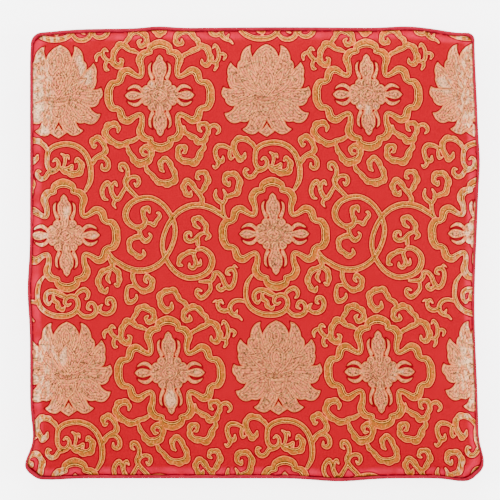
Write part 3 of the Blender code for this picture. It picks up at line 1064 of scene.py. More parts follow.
# %% Vines behind the first ring
VINES_OVER_A = (
    vine((-22, 43.2, 1.6), (-27.6, 45.1, 2.3), (-32.3, 47, 2.5), (-36.5, 50.4, 3),
         (-40.6, 50.6, 3.3), (-44.3, 46.4, 3), (-46.4, 40.8, 2.7), (-46.6, 35.1, 3),
         (-43.9, 30.8, 3.2), (-39.8, 31.3, 2.9), (-38.3, 35.1, 2), (-40.3, 37.2, 1.2), lobed=True),
    vine((-36.4, 51.5, 1.7), (-31.9, 57.1, 2.3), (-29, 62.6, 2.9), (-24.9, 65.2, 3.1),
         (-20, 63.6, 3.3), (-15.6, 60.7, 3.1), (-13.6, 56.1, 2.7), (-15.4, 51.8, 2.7),
         (-19.3, 50.9, 2.3), (-21.6, 54, 1.8), (-19.4, 56.6, 1.2), lobed=True),
    vine((-48.8, 33.9, 1.6), (-53.5, 36, 2.3), (-56.9, 39.9, 2.5), (-57.7, 43.7, 2.3),
         (-55.7, 46.8, 2), (-52.7, 44.8, 1.2)),
    vine((-57.8, 42.7, 1.7), (-61.6, 42.1, 2.1), (-64.1, 39.2, 2.2), (-63.7, 34.9, 1.2)),
    vine((-53.3, 35.1, 1.9), (-54.9, 30.8, 2.1), (-53.9, 26.5, 2.2), (-51.7, 26, 1.4)),
    vine((23.1, 36, 1), (25.2, 40.3, 2.1), (31.5, 43.7, 2.5), (37.3, 46.3, 2.7), (41.4, 49.2, 2.9),
         (46, 48.3, 3.1), (49.1, 43.7, 3.1), (50.8, 37.9, 3.1), (49.7, 32.7, 2.9),
         (46.3, 30.8, 2.5), (43.5, 32.2, 1.8), (42.8, 35.7, 1.2), lobed=True),
    vine((39.2, 50.2, 2), (37.9, 55.2, 2.5), (34.2, 59, 2.7), (30.4, 63.6, 2.9), (26.2, 65, 3.1),
         (22, 63.3, 2.7), (17.7, 60.7, 2.7), (16.2, 55.6, 2.7), (18.9, 52.1, 2.5), (22.3, 52.8, 2),
         (22, 56.8, 1.2), lobed=True),
    vine((20.1, 64.5, 2.1), (17.1, 69.5, 2.3), (11.9, 73.3, 2.5), (9.8, 78.1, 2.7),
         (6.4, 81.8, 2.9), (1.5, 81, 2.9), (-3.3, 79.4, 3.1), (-6.8, 75.3, 2.9), (-6.1, 69.5, 2.7),
         (-3.9, 64.7, 3.1), (-0.2, 62.6, 3.2), (3.7, 64.5, 2.4), (4.6, 69.7, 1.2), lobed=True),
    vine((53.8, 47.3, 0.9), (55.9, 50.4, 2.1), (58.8, 47, 2.1), (60, 41.3, 2.3), (58.8, 35.1, 2.3),
         (54.9, 32.7, 1.8), (52.3, 34.3, 1.5)),
    vine((57.3, 33.2, 1.9), (57.6, 28.9, 2.1), (55.6, 25.3, 1.5)),
    vine((60.5, 40.8, 1.7), (63.9, 41.8, 1.9), (66.6, 39.4, 2), (64.9, 35.7, 1.2)),
)
print("charted:", len(VINES_OVER_A), "lines")

# %% Vines behind the second ring
VINES_OVER_B = (
    vine((22.4, 44.6, 2), (27.1, 53.2, 2.8), (28.4, 62.8, 3), (27.1, 72.4, 3), (23.4, 81, 3),
         (16.9, 87.5, 3), (8.3, 90.8, 3), (-0.3, 91, 3), (-9, 88.5, 2.9), (-14.4, 83.9, 2.8),
         (-15.9, 77.2, 2.6), (-15.9, 70.5, 2.5), (-13.2, 65.9, 2.6), (-8.7, 64.7, 2.8),
         (-5, 67.6, 2.5), (-4.2, 72.4, 2.2), (-6.6, 76, 1.9), (-9.7, 74.1, 1.2)),
    vine((-10.4, 63.6, 2.5), (-14.7, 62.6, 2.5), (-18.3, 58, 2.5), (-23.1, 56.8, 2.6),
         (-26.6, 60.4, 2.5), (-26, 64.5, 2), (-23.1, 64.1, 1.2)),
    vine((-2.3, 67.4, 2), (2.6, 64.2, 2.9), (8.3, 62, 3.3), (14, 61.7, 3.3), (17.8, 64.9, 3.1),
         (18.4, 70.5, 2.9), (15.5, 75.1, 2.4), (12.9, 72.9, 1.2), lobed=True),
    vine((0.8, 68.1, 1.6), (2.6, 74.3, 1.9), (2, 79.1, 2.1), (-1, 81.5, 1.2)),
    vine((2.3, 78.1, 1.5), (5.5, 79.1, 1.9), (6.8, 75.1, 0.7)),
    vine((2.7, 66.4, 1.9), (6.7, 67.4, 2.4), (9.5, 69.5, 1.8), (9.5, 65.5, 1.2)),
    vine((-15.6, 85.6, 1.9), (-19.5, 90.6, 2.3), (-24.2, 93.9, 2.7), (-29.9, 94.9, 3),
         (-35, 92.3, 2.9), (-36.3, 85.8, 2.6), (-34.3, 79.8, 2.7), (-31.3, 75.4, 3.2),
         (-27.9, 76.4, 2.5), (-25.9, 80.8, 1.2), lobed=True),
    vine((-38, 83.9, 1.9), (-41.7, 85.8, 2.1), (-46.5, 88, 2.5), (-52.2, 88, 2.7),
         (-55.5, 83.9, 2.5), (-55.2, 78.1, 2.5), (-52.7, 72.9, 3), (-48.7, 73.3, 2.5),
         (-48.1, 77.4, 1.2)),
    vine((-52.3, 72.2, 2.3), (-53.9, 68.6, 2.3), (-56.3, 66.2, 1.8), (-58.4, 68.3, 1.2)),
    vine((-40.3, 84.6, 1.9), (-41.5, 79.8, 2.1), (-40.5, 75.3, 2), (-37.9, 75.9, 1.2)),
    vine((28.9, 69.3, 1.7), (31.8, 75.1, 2.5), (36.9, 78.9, 2.7), (41.4, 81, 2.8),
         (43.5, 85.8, 2.6), (41.2, 91.3, 2.5), (38.2, 95.1, 2.9), (34.4, 96.1, 3.1),
         (31, 93.2, 2.7), (31.8, 88.8, 2), (34.5, 89.4, 1.2), lobed=True),
    vine((37.7, 77.9, 2.1), (42.4, 77, 2.5), (45.6, 73.1, 2.7), (45.7, 67.6, 2.7),
         (42.9, 65.2, 2.5), (39.6, 66.6, 2), (39.6, 70.5, 1.2)),
)
print("charted:", len(VINES_OVER_B), "lines")

# %% Vines in front of the second ring
VINES_UNDER_B = (
    vine((-24.3, -41.4, 1.6), (-29, -48.1, 2.4), (-31, -55.7, 2.6), (-31.1, -63.4, 2.6),
         (-28.6, -71, 2.7), (-23.1, -76.3, 2.9), (-14.7, -79.9, 3), (-6.1, -80.6, 3.1),
         (1.6, -79.4, 3), (7.5, -75.6, 2.8), (10.2, -69.6, 2.6), (9, -63.6, 2.6), (4.4, -60.7, 2.6),
         (-1.3, -62.4, 2.3), (-3.4, -67.2, 2.1), (-0.4, -69.9, 1.8), (2.8, -68.1, 1.2)),
    vine((-1.4, -61.6, 2), (-6.1, -59.7, 3.2), (-11.7, -56.9, 3.2), (-17.4, -55.9, 2.9),
         (-22.1, -58.6, 2.5), (-22.9, -64.3, 2.5), (-19.9, -68.4, 2.2), (-17.2, -66, 1.2)),
    vine((-14.9, -59.5, 1.5), (-14, -64.5, 2.1), (-10.5, -67.4, 2.3), (-9.5, -72, 2.5),
         (-6, -73.7, 2.2), (-3.6, -71.8, 1.2), lobed=True),
    vine((8.2, -59.7, 1.9), (12.2, -55.9, 2.5), (17.1, -54.1, 2.7), (20.7, -57.6, 2.5),
         (20, -62.4, 1.8), (17.9, -63.7, 1.2)),
    vine((10.3, -76.5, 2.1), (14.9, -80.6, 2.5), (21.6, -81.3, 2.7), (27.2, -77.7, 2.7),
         (27.7, -72, 2.3), (25, -67.7, 1.9), (21.2, -68.3, 2.1), (19.5, -72.9, 1.8),
         (22.5, -74.6, 1.2)),
    vine((30.4, -75.3, 1.7), (35.1, -78.2, 2.3), (39.8, -78.5, 2.5), (44.6, -75.3, 2.7),
         (46.3, -69.1, 2.7), (44.3, -64, 2.5), (40.2, -63.8, 2.3), (38.9, -68.1, 1.8),
         (40.9, -69.6, 1.2)),
    vine((32, -76.3, 1.7), (31.7, -72, 2.1), (34.2, -69.6, 1.1)),
    vine((-32.7, -67.2, 1.9), (-37.9, -65.9, 2.3), (-43.7, -67.2, 2.5), (-47.5, -72, 2.5),
         (-47.3, -77.2, 2.7), (-43.4, -80.9, 2.3), (-39.1, -82.5, 1.8), (-36.2, -85.6, 1.2)),
    vine((-47.2, -74.4, 2.1), (-52.7, -76.6, 2.5), (-57.9, -74.8, 2.5), (-59.6, -69.6, 2.3),
         (-56.6, -66.4, 2), (-54.1, -69.3, 1.2)),
    vine((-58.8, -68, 1.9), (-61.6, -66.4, 1.5), (-64.3, -68, 0.7)),
    vine((-43.8, -80.6, 1.5), (-41.3, -77.9, 1.7), (-40.1, -75.3, 0.7)),
)
print("charted:", len(VINES_UNDER_B), "lines")

# %% Great circle
CIRCLE = (
    vine((-60.7, -14.1, 1.8), (-56.2, -20.8, 2.6), (-49.7, -25.6, 3), (-42.3, -29.9, 3.2),
         (-32.8, -32.3, 3.2), (-23.3, -31.8, 3.2), (-14.5, -28.4, 3), (-7.6, -23.2, 2.8),
         (-2.5, -16.9, 2.6), (1.6, -10.3, 2.5), (5.4, -0.8, 2.5), (6.8, 7.8, 2.6), (5.7, 15.5, 2.6),
         (2.7, 23.1, 2.6), (-2.3, 30.8, 2.7), (-8.7, 36.5, 2.8), (-16.3, 39.9, 2.8),
         (-23.9, 39.9, 2.9), (-30.7, 38, 3), (-36.6, 34.6, 3.1), (-40.6, 29.4, 3.4),
         (-42.3, 23.6, 3.3), (-41.1, 17.9, 3.3), (-37.5, 13.6, 3), (-32.8, 11, 2.7),
         (-28, 11.6, 2.2)),
)
print("charted:", len(CIRCLE), "lines")

# %% Vines where the circles meet
VINES_LINK = (
    vine((-31, 9.3, 2.5), (-25.1, 11.6, 2.7), (-22.5, 17.4, 2.5), (-24.6, 22.6, 2.3),
         (-23.4, 28.2, 2.5), (-20, 29.6, 2.4), (-18.3, 25.2, 1.2), lobed=True),
    vine((-22.1, 15.5, 1.9), (-17.3, 14.5, 2.1), (-14.1, 12.8, 2.3), (-11.5, 17.2, 2.1),
         (-8.1, 21.2, 2.1), (-8.8, 24.6, 1.8), (-10.8, 25, 1.2)),
    vine((-28.5, 10.2, 2.3), (-28.8, 4.9, 2.3), (-27.1, 0.2, 2.7), (-23.9, -3, 2.9),
         (-20.5, -1.7, 2.5), (-17.9, 2.1, 1.8), (-19.4, 4.7, 1.2)),
    vine((-28.5, 0.9, 2.3), (-33.3, 0.5, 2.5), (-37.5, -1.3, 2.5), (-39.8, -6.5, 2.5),
         (-38.6, -11.8, 2.5), (-34, -16.1, 2.7), (-29.3, -18.3, 2.7), (-25.9, -16.1, 2),
         (-26.2, -12.1, 1.2), lobed=True),
    vine((-30.6, 41.3, 2.3), (-35.2, 46.1, 2.5), (-39.3, 50.9, 2.7), (-41.5, 56.6, 2.5),
         (-38.9, 62.3, 2.5), (-38.7, 68.1, 2.5), (-41.4, 73.2, 2.7), (-45.2, 73.2, 2.5),
         (-46, 69, 1.8), (-43.5, 66.9, 1.2)),
    vine((-40.1, 54.5, 1.7), (-37.6, 59, 1.9), (-33.6, 61.2, 2.1), (-28.9, 60.2, 2.3),
         (-27.8, 55.7, 2.5), (-30.1, 52, 1.8), (-32.2, 54.7, 1.2)),
    vine((-41.2, 50.9, 2.1), (-45.3, 44.2, 2.3), (-48.9, 39.2, 2.5), (-52.6, 40.5, 2.7),
         (-55.3, 46.1, 2.5), (-56.5, 51.8, 2.3), (-59.3, 55.5, 2.7), (-63.2, 51.8, 2.5),
         (-64.9, 46.1, 2.5), (-63.2, 40.1, 2.2), (-59.7, 38.4, 1.2)),
    vine((-55.2, 47.8, 1.9), (-54.4, 52.8, 2.1), (-51.6, 55.5, 2.2), (-49.6, 52.1, 1.2)),
    vine((-51.8, 38.4, 2.1), (-53.9, 34.1, 2.1), (-51.5, 29.6, 0.7)),
    vine((34.2, 32.7, 2.3), (34.5, 39.4, 2.3), (31.4, 44.6, 2.5), (26.8, 50.4, 2.7),
         (22.7, 55.9, 3), (18.8, 54.5, 2.9), (17.2, 49.9, 2.7), (19.4, 44.6, 2.7),
         (22.7, 42.3, 2.2), (24.1, 46.1, 1.2), lobed=True),
    vine((34.3, 44.9, 1.9), (37.9, 50.9, 2.7), (41, 56.6, 2.9), (40.2, 62.2, 2.7), (37, 65, 2.5),
         (32.6, 64.1, 2.3), (30.6, 60.4, 1.8), (33.1, 58.3, 1.2), lobed=True),
    vine((28.8, -43.7, 1.5), (34.1, -43.7, 2.1), (39.3, -43.3, 2.5), (42.9, -39.4, 2.5),
         (43.7, -35.6, 2.3), (47.8, -35.3, 2.4), (51.5, -39.6, 2.6), (53.6, -45.6, 2.6),
         (57.2, -50.2, 2.7), (61.1, -48.3, 2.7), (63.7, -42.8, 2.4), (64.7, -36.1, 2.3),
         (62.4, -31.6, 2.5), (58.2, -32, 2.4), (56.2, -35.6, 1.9), (59.2, -37.2, 1.3)),
    vine((39.2, -45.6, 2), (39.2, -51.4, 2.2), (35.6, -56.2, 2.4), (30, -60, 2.7),
         (25.6, -56.5, 2.5), (26.2, -51.9, 2), (30.3, -53, 1.3)),
    vine((54.4, -49.5, 2.1), (49.9, -52.2, 2.5), (46.7, -49.5, 2.2), (48.8, -46.3, 1.3)),
    vine((62.9, -31.3, 1.7), (64.4, -28.1, 1.5), (67.7, -30.3, 0.7)),
    vine((31.3, 9.3, 1.2), (26.7, 13.1, 2.1), (26.1, 17.7, 2.3), (29.8, 19.6, 2.5),
         (34.5, 16.4, 2.5), (37.6, 10.7, 2.5), (37.3, 5.4, 2.5), (40.3, 2.1, 2.2), (37, -1.7, 1.3),
         lobed=True),
    vine((36.3, 5.2, 1.7), (31, 3, 2.3), (26.5, -1.3, 2.6), (21.1, -3.5, 2.6), (17.1, -1.3, 2.5),
         (17.3, 3.8, 2.2), (21.5, 5.2, 1.8), (22.6, 1.6, 1.2)),
    vine((28.9, -0.3, 2.1), (28.8, -6.5, 2.5)),
    vine((25.4, -14.1, 2.1), (20.1, -14.6, 2.4), (14.7, -16.9, 2.5), (9.9, -21.3, 2.4),
         (9.2, -26, 2.1), (12.1, -27.5, 1.3), lobed=True),
    vine((23.9, -16, 2.1), (25.1, -20.8, 2.2), (26.1, -25.6, 2.5), (23.2, -30.2, 2.4),
         (19.6, -28.9, 2), (19.3, -25.6, 1.2)),
    vine((26.2, -27.7, 1.9), (30.1, -26.5, 2.1), (30.8, -21.4, 0.9)),
    vine((-37.7, -34.6, 2.2), (-36.9, -41.8, 2.2), (-34.5, -47.6, 2.4), (-29.4, -51.9, 2.7),
         (-23.7, -51.9, 2.9), (-19.2, -47.6, 2.8), (-19.4, -41.8, 2.7), (-23.1, -38.7, 2.4),
         (-25.6, -41.3, 1.8), (-23.8, -44.5, 1.2), lobed=True),
    vine((-38.8, -47.6, 1.9), (-42.9, -48.5, 2.1), (-44.6, -53.3, 2.2), (-44.8, -59, 2.7),
         (-43.1, -63.6, 2.9), (-39, -63.2, 2.7), (-35.2, -60, 2), (-34.8, -56.4, 1.2)),
    vine((59.4, 17.4, 1.5), (55.9, 23.1, 2.3), (55.2, 29.8, 2.3), (54.4, 34.1, 2.5),
         (50.3, 37.5, 2.5), (48.1, 42.3, 2.2), (49.3, 47.5, 1.3)),
    vine((55.4, 33.2, 2.1), (58.4, 38, 2.3), (58.7, 43.2, 2), (56.5, 47.7, 1.2)),
    vine((58.1, 40.3, 1.9), (63.9, 42.3, 2.3), (69.3, 44.4, 2.9), (71.9, 50.9, 3.1),
         (72.5, 57.6, 2.9), (68.6, 62.6, 2.7), (63.3, 63.1, 2.9), (58.9, 60.2, 2.7),
         (59.2, 55.2, 2.3), (61.9, 52.3, 1.8), (63.2, 55.7, 1.2), lobed=True),
    vine((-59.9, -20.8, 2.1), (-56.9, -26, 2.3), (-59.7, -30.5, 2.5), (-65.4, -32.4, 2.9),
         (-70.3, -37, 2.7), (-72.1, -44.7, 2.7), (-69.2, -50.4, 2.7), (-66.2, -53.1, 2.4),
         (-63.5, -49.3, 1.2), lobed=True),
    vine((-56.2, -30.3, 2.5), (-52.1, -35.1, 2.7), (-51.9, -40.9, 2.7), (-53.1, -46.4, 2.2),
         (-56.1, -45.5, 1.2), lobed=True),
    vine((-60.2, -34.2, 1.5), (-63.1, -39.9, 2.4), (-60.4, -44.9, 1)),
)
print("charted:", len(VINES_LINK), "lines")

# %% All vines of a repeat
def chart_vines():
    """All vines of a repeat, and its two great circles."""
    sets = [(VINES_UNDER_A, RING_A), (VINES_OVER_A, RING_A), (VINES_OVER_B, RING_B),
            (VINES_UNDER_B, RING_B), (VINES_LINK, LINK)]
    strokes = [stroke(**row, at=at) for rows, at in sets for row in rows]
    return strokes + [stroke(**row, at=LINK, flip=flip) for row in CIRCLE for flip in (1, -1)]


print("vines of a repeat:", len(chart_vines()))

# %% [markdown]
# ## Lay the chart on the cloth
#
# Every point of the top now gets its depths in the nearest vine, ring, flower and petal. They
# could be worked out in the material, but hundreds of strokes would take thousands of nodes. On
# the mesh they are four numbers for each point, and a soft step at a depth gives a sharp line.
# Where the panel rolls down to the seams, the roll takes up cloth, so the place on the cloth
# lies a little further out than the place in plan.

# %% Depths at the top's points
ROLL_OFF = SHOULDER / 4 * 1000     # mm of cloth that go into the roll
ROLL_REACH = SHOULDER / 2          # distance in from the seam within which most of it goes there
FAR_IN = 99.0                      # distance in, in mm, that is stored away from the top


def pattern_depths(place):
    """The four numbers that the material reads: band, across, flower and petal, in mm."""
    band, across = run_together(chart_vines(), place)
    ring, ring_across = run_together(ring_strokes(RING_A) + ring_strokes(RING_B), place)
    across = np.where(ring > 0, ring_across, across)
    band = np.where(ring > 0, ring, np.maximum(band, ring))
    petals = flower_petals(LOTUS_LAYERS, LOTUS)
    petals += flower_petals(BELL_LAYERS, RING_A) + flower_petals(BELL_LAYERS, RING_B)
    flower, top_petal = lie_over(petals, place)
    return {"band": band, "across": across, "flower": flower, "petal": top_petal}


top_points = skin.points[:skin.starts[1]]
inner = HALF - np.abs(skin.top)
beyond = np.full(len(skin.points) - len(inner), FAR_IN)
add_attribute(cover, "inward", np.concatenate([inner.min(axis=1) * 1000, beyond]))
spread = np.sign(skin.top) * ROLL_OFF * np.exp(-inner / ROLL_REACH)
top_place = cloth_place(top_points[:, :2] * 1000 + spread)
for name, depth in pattern_depths(top_place).items():
    rest = np.full(len(skin.points) - len(depth), OUTSIDE)
    add_attribute(cover, name, np.concatenate([depth, rest]))
    print("pattern:", name, "inside on", round(100 * float((depth > 0).mean())), "% of the top")

# %% [markdown]
# ## Writing materials as sums
#
# A material is a network of nodes. Adding every node by hand hides the formula, so a small class
# stands for one socket and adds a Math node whenever it meets a plus, minus, times or divided by.
# Everything that isn't arithmetic comes from its one general method, add. A few more methods give
# short names to what is used most: soft steps at an edge, and mixing colours by a share.

# %% Node arithmetic
class Value:
    """One output socket of a material, with arithmetic."""

    def __init__(self, tree, socket=None):
        self.tree, self.socket = tree, socket

    def add(self, kind, settings=None, sockets=None, output=0):
        """Add a node of a kind: settings first, then a value or a link for each socket."""
        node = self.tree.nodes.new(kind)
        for name, setting in (settings or {}).items():
            setattr(node, name, setting)
        for key, value in (sockets or {}).items():
            if isinstance(value, Value):
                self.tree.links.new(value.socket, node.inputs[key])
            else:
                node.inputs[key].default_value = value
        return Value(self.tree, node.outputs[output])

    def maths(self, operation, *values, clamp=False):
        """Add a Math node that does an operation on one value or more."""
        settings = {"operation": operation, "use_clamp": clamp}
        return self.add("ShaderNodeMath", settings, dict(enumerate(values)))

    def __add__(self, other):
        return self.maths("ADD", self, other)

    def __sub__(self, other):
        return self.maths("SUBTRACT", self, other)

    def __rsub__(self, other):
        return self.maths("SUBTRACT", other, self)

    def __mul__(self, other):
        return self.maths("MULTIPLY", self, other)

    def __truediv__(self, other):
        return self.maths("DIVIDE", self, other)

    def __mod__(self, other):
        return self.maths("FLOORED_MODULO", self, other)

    __radd__ = __add__
    __rmul__ = __mul__

    def sine(self):
        """Sine of this value, taken as an angle."""
        return self.maths("SINE", self)

    def whole(self):
        """This value rounded down."""
        return self.maths("FLOOR", self)

    def size(self):
        """This value without its sign."""
        return self.maths("ABSOLUTE", self)

    def most(self, other):
        """The larger one of this value and another."""
        return self.maths("MAXIMUM", self, other)

    def above(self, edge, soft=0.3):
        """0 below an edge and 1 above it, changing over a soft width centred on the edge."""
        return self.maths("ADD", (self - edge) / soft, 0.5, clamp=True)

    def below(self, edge, soft=0.3):
        """1 below an edge and 0 above it."""
        return 1 - self.above(edge, soft)

    def between(self, low, high, soft=0.3):
        """1 between two edges."""
        return self.above(low, soft) * self.below(high, soft)

    def blend(self, color, other):
        """Colour that goes from one to the other as this value goes from 0 to 1."""
        sockets = {0: self, 6: color, 7: other}
        return self.add("ShaderNodeMix", {"data_type": "RGBA"}, sockets, output=2)

    def mix(self, share, other):
        """Colour that goes from this one to the other as a share goes from 0 to 1."""
        return share.blend(self, other)


# %% [markdown]
# ## Beginning and ending a material
#
# Every finish here is one Principled shader. What is the same all over the cloth is set as a
# constant, and what varies is linked: the colour, the gloss and the relief.

# %% New materials
def new_material(name):
    """An empty material: its shader and a Value to start sums from."""
    material = bpy.data.materials.new(name)
    material.use_nodes = True
    shader = material.node_tree.nodes["Principled BSDF"]
    return material, shader, Value(material.node_tree)


def finish_shader(shader, constants, links):
    """Set a shader's constants, and link its varying sockets."""
    for name, constant in constants.items():
        shader.inputs[name].default_value = constant
    for name, value in links.items():
        value.tree.links.new(value.socket, shader.inputs[name])


# %% [markdown]
# ## The weave
#
# The cloth is a satin: the red threads float over the surface and run one way, which gives it a
# soft directional gloss. Close up one sees the threads as fine ribs, and from further off only a
# slight unevenness. The same helper makes ribs for all the cloths, in millimetres of cloth.

# %% Threads
FULL_TURN = 2 * math.pi


def coordinate(start, place, axis, scale=1.0):
    """One coordinate of a place, 0 for the first, times a scale."""
    return start.add("ShaderNodeSeparateXYZ", sockets={0: place}, output=axis) * scale


def cloth_mm(start):
    """The two coordinates of the cloth in millimetres."""
    place = start.add("ShaderNodeUVMap", {"uv_map": "cloth"})
    return coordinate(start, place, 0, 1000), coordinate(start, place, 1, 1000)


def noise(start, x, y, size, detail):
    """Smooth noise on the cloth, with grains of a size in millimetres."""
    place = start.add("ShaderNodeCombineXYZ", sockets={0: x / size, 1: y / size})
    sockets = {"Vector": place, "Scale": 1.0, "Detail": detail}
    return start.add("ShaderNodeTexNoise", sockets=sockets)


def floats(start, x, y, width, length):
    """A chance value for each float, the short stretch in which a thread lies on the surface."""
    sockets = {0: (x / width).whole(), 1: (y / length).whole()}
    place = start.add("ShaderNodeCombineXYZ", sockets=sockets)
    return start.add("ShaderNodeTexWhiteNoise", {"noise_dimensions": "2D"}, {"Vector": place})


def ribs(across, pitch):
    """Rounded threads at a pitch, from 0 in the gaps to 1 on top."""
    return (across * (FULL_TURN / pitch)).sine() * 0.5 + 0.5


def raised(start, height):
    """The normal of a surface that rises by a height in metres."""
    sockets = {"Strength": 1.0, "Distance": 1.0, "Height": height}
    return start.add("ShaderNodeBump", sockets=sockets)


# %% [markdown]
# ## Brocade
#
# The material reads the four depths. A vine is read across: a pale outline, then khaki, straw and
# khaki threads, then a filling of orange gold. A flower is read inwards from the edge of each
# petal: outline, brown veins that follow the edge, and a filling. Threads of several colours
# come to the surface by turns, so each short float has its own chance value, which picks its
# colour. All colours and measures stand together here, so that the formulas show only words.

# %% Colours and measures of the brocade
RED = (0.33, 0.0, 0.0078, 1.0)
SHADED_RED = (0.28, 0.0, 0.006, 1.0)
# Painted sheen where the panel rolls down to its seams
LIT_RED = (0.6, 0.005, 0.046, 1.0)
# Painted shadow beside the raised figure
SHADOW_RED = (0.105, 0.0007, 0.003, 1.0)
# Painted shade in the crease between the panel and the piping
CREASE_SHADE_RED = (0.055, 0.0003, 0.0015, 1.0)
OUTLINE = (0.95, 0.215, 0.06, 1.0)
KHAKI = (0.035, 0.015, 0.003, 1.0)
CREAM = (0.94, 0.4, 0.115, 1.0)
STRAW = (0.84, 0.34, 0.062, 1.0)
GOLD = (0.46, 0.096, 0.0105, 1.0)
OLIVE = (0.23, 0.106, 0.014, 1.0)
BROWN = (0.1, 0.042, 0.018, 1.0)
SAGE = (0.4, 0.214, 0.088, 1.0)
# Painted glint: silver laid on the figure where its metallic threads would mirror the lights
GLINT_SILVER = (0.9, 0.62, 0.36, 1.0)
PEACH = (0.78, 0.226, 0.077, 1.0)
PINK = (0.76, 0.158, 0.083, 1.0)
RED_GLOSS = (1.0, 0.02, 0.06, 1.0)

# Threads, floats and uneven places, in mm of cloth
WARP_PITCH, WEFT_PITCH = 0.42, 0.50
FLOAT_WIDTH, FLOAT_LENGTH = 1.0, 1.25
CLOUD_SIZE, PATCH_SIZE, GRAIN_SIZE = 22.0, 4.0, 1.1
CRUMPLE_SIZE, CRUMPLE_LENGTH = 3.4, 2.2
SHINE_SIZE = 26.0
DOT_PITCH = 2.1
# Depths and ways across at which the figure changes, in mm
BAND_EDGE, FLOWER_EDGE = 0.27, 0.2
STRAW_FROM, KHAKI_FROM, GILT_FROM = 1.9, 2.65, 3.5
VINE_OUTLINE, FLOWER_OUTLINE = 0.78, 0.8
PETAL_OUTLINE, PETAL_LINE = (0.8, 0.4), (0.9, 1.8)
FIRST_VEIN, VEIN_PITCH, VEIN_WIDTH, VEINS_FROM = 2.2, 2.6, 0.7, 2.0
FURROW = (2.5, 3.4)
# Edges with their softness: mm in from the seam, metres from the middle, and values of noises
LIT_EDGE, SHADOW_BESIDE_FIGURE = (3.0, 8.0, 3.5), (-1.0, 0.2, 0.4)
GLINT_FROM, GLINT_TO, CREASE_SHADE_TO = (2.5, 2.0), (17.0, 18.0), (2.8, 0.9)
GLINT_SIDES, PETAL_GLINT_SIDES, PETAL_GLINT_FROM = (0.19, 0.02), (0.05, 0.04), (2.2, 0.8)
CLOUDS, LIT_CLOUDS = (0.5, 0.5), (0.42, 0.3)
OLIVE_PATCHES, CREASE_SHADE_PATCHES = (0.54, 0.16), (0.33, 0.2)
CRUMPLES, SHINING, DOTS = (0.54, 0.12), (0.66, 0.06), (0.4, 0.3)
# Chance values up to which a float takes a colour
VINE_KHAKI_TO, VINE_GILT_TO = 0.2, 0.84
BROWN_TO, SAGE_TO, PEACH_TO, PINK_TO = 0.17, 0.32, 0.68, 0.93
CHANCE_SOFT = 0.02
# How strongly each colour is laid on
SHARE = {
    "cloud": 0.35, "lit_edge": 0.65, "shade": 0.85, "olive": 0.8, "stray_float": 0.35,
    "sage": 0.85, "brown": 0.9, "cream": 0.9, "dots": 0.75, "veins": 0.65, "petal_line": 0.12,
    "petal_outline": 0.85, "flower_outline": 0.6, "flower_glint": 0.7, "vine_glint": 0.5,
    "crease": 0.95,
}
# Strength of a glint on the dullest float, and what the brightest one adds
GLINT_LEAST, GLINT_MORE, PETAL_GLINT_LEAST, PETAL_GLINT_MORE = 0.35, 0.65, 0.1, 0.4
# Gloss of satin and figure
SATIN_ROUGHNESS, FIGURE_SMOOTHER = 0.46, 0.08
FIGURE_METAL, FLOWER_METAL, SATIN_SPECULAR = 0.45, 0.15, 0.30
# Heights in metres
FIGURE_HEIGHT, THREAD_HEIGHT, DOT_HEIGHT = 0.00022, 0.00003, 0.00005
GRAIN_HEIGHT, CRUMPLE_HEIGHT = 0.00008, 0.00015
VEIN_DEPTH, FURROW_DEPTH = 0.00012, 0.00010

print("floats on the top:", round((SIDE * 1000) ** 2 / (FLOAT_WIDTH * FLOAT_LENGTH)))

# %% [markdown]
# ## What the brocade's formulas read
#
# All of them start from the same few things: the depths on the mesh, the place on the cloth, a
# chance value for each float, and noises that stand for the unevenness of real cloth. They are
# made once and handed on together.

# %% Sources
def read_weave(start):
    """Depths in the figure, places on the cloth, chance values, noises, veins and dots."""
    weave = SimpleNamespace()
    for name in ("band", "across", "flower", "petal", "inward"):
        depth = start.add("ShaderNodeAttribute", {"attribute_name": name}, output=2)
        setattr(weave, name, depth)
    x, y = cloth_mm(start)
    weave.x, weave.y = x, y
    weave.chance = floats(start, x, y, FLOAT_WIDTH, FLOAT_LENGTH)
    weave.cloudy = noise(start, x, y, CLOUD_SIZE, 2.0)
    weave.patchy = noise(start, x, y, PATCH_SIZE, 1.0)
    weave.grain = noise(start, x, y, GRAIN_SIZE, 3.0)
    weave.crumple = noise(start, x, y / CRUMPLE_LENGTH, CRUMPLE_SIZE, 1.0)
    weave.shine = noise(start, x, y, SHINE_SIZE, 0.0)
    row = (weave.petal - FIRST_VEIN) % VEIN_PITCH
    weave.veins = row.between(0.0, VEIN_WIDTH) * weave.petal.above(VEINS_FROM)
    diagonal = FULL_TURN / DOT_PITCH
    weave.dots = ((x + y) * diagonal).sine() * ((x - y) * diagonal).sine()
    return weave


# %% [markdown]
# ## Ground, vines and flowers
#
# Each of the three is a colour that starts plain and has others laid over it, as a painter
# would. How far one goes is a share from 0 to 1: a soft step at a depth makes a stripe or an
# outline, a soft step at a chance value picks some of the floats, and noise makes patches.

# %% Colours of ground, vines and flowers
def ground_color(weave):
    """Cloudy red, with a painted sheen in places along the panel's rolled edge, and a painted
    shadow right beside the raised figure.
    """
    color = (weave.cloudy.above(*CLOUDS) * SHARE["cloud"]).blend(RED, SHADED_RED)
    # Painted sheen: lighter red in places where the panel rolls down to the seams
    lit = weave.inward.between(*LIT_EDGE) * weave.cloudy.above(*LIT_CLOUDS)
    color = color.mix(lit * SHARE["lit_edge"], LIT_RED)
    # Painted shadow: the ground is dark right beside the figure
    beside = weave.band.most(weave.flower).between(*SHADOW_BESIDE_FIGURE)
    return color.mix(beside * SHARE["shade"], SHADOW_RED)


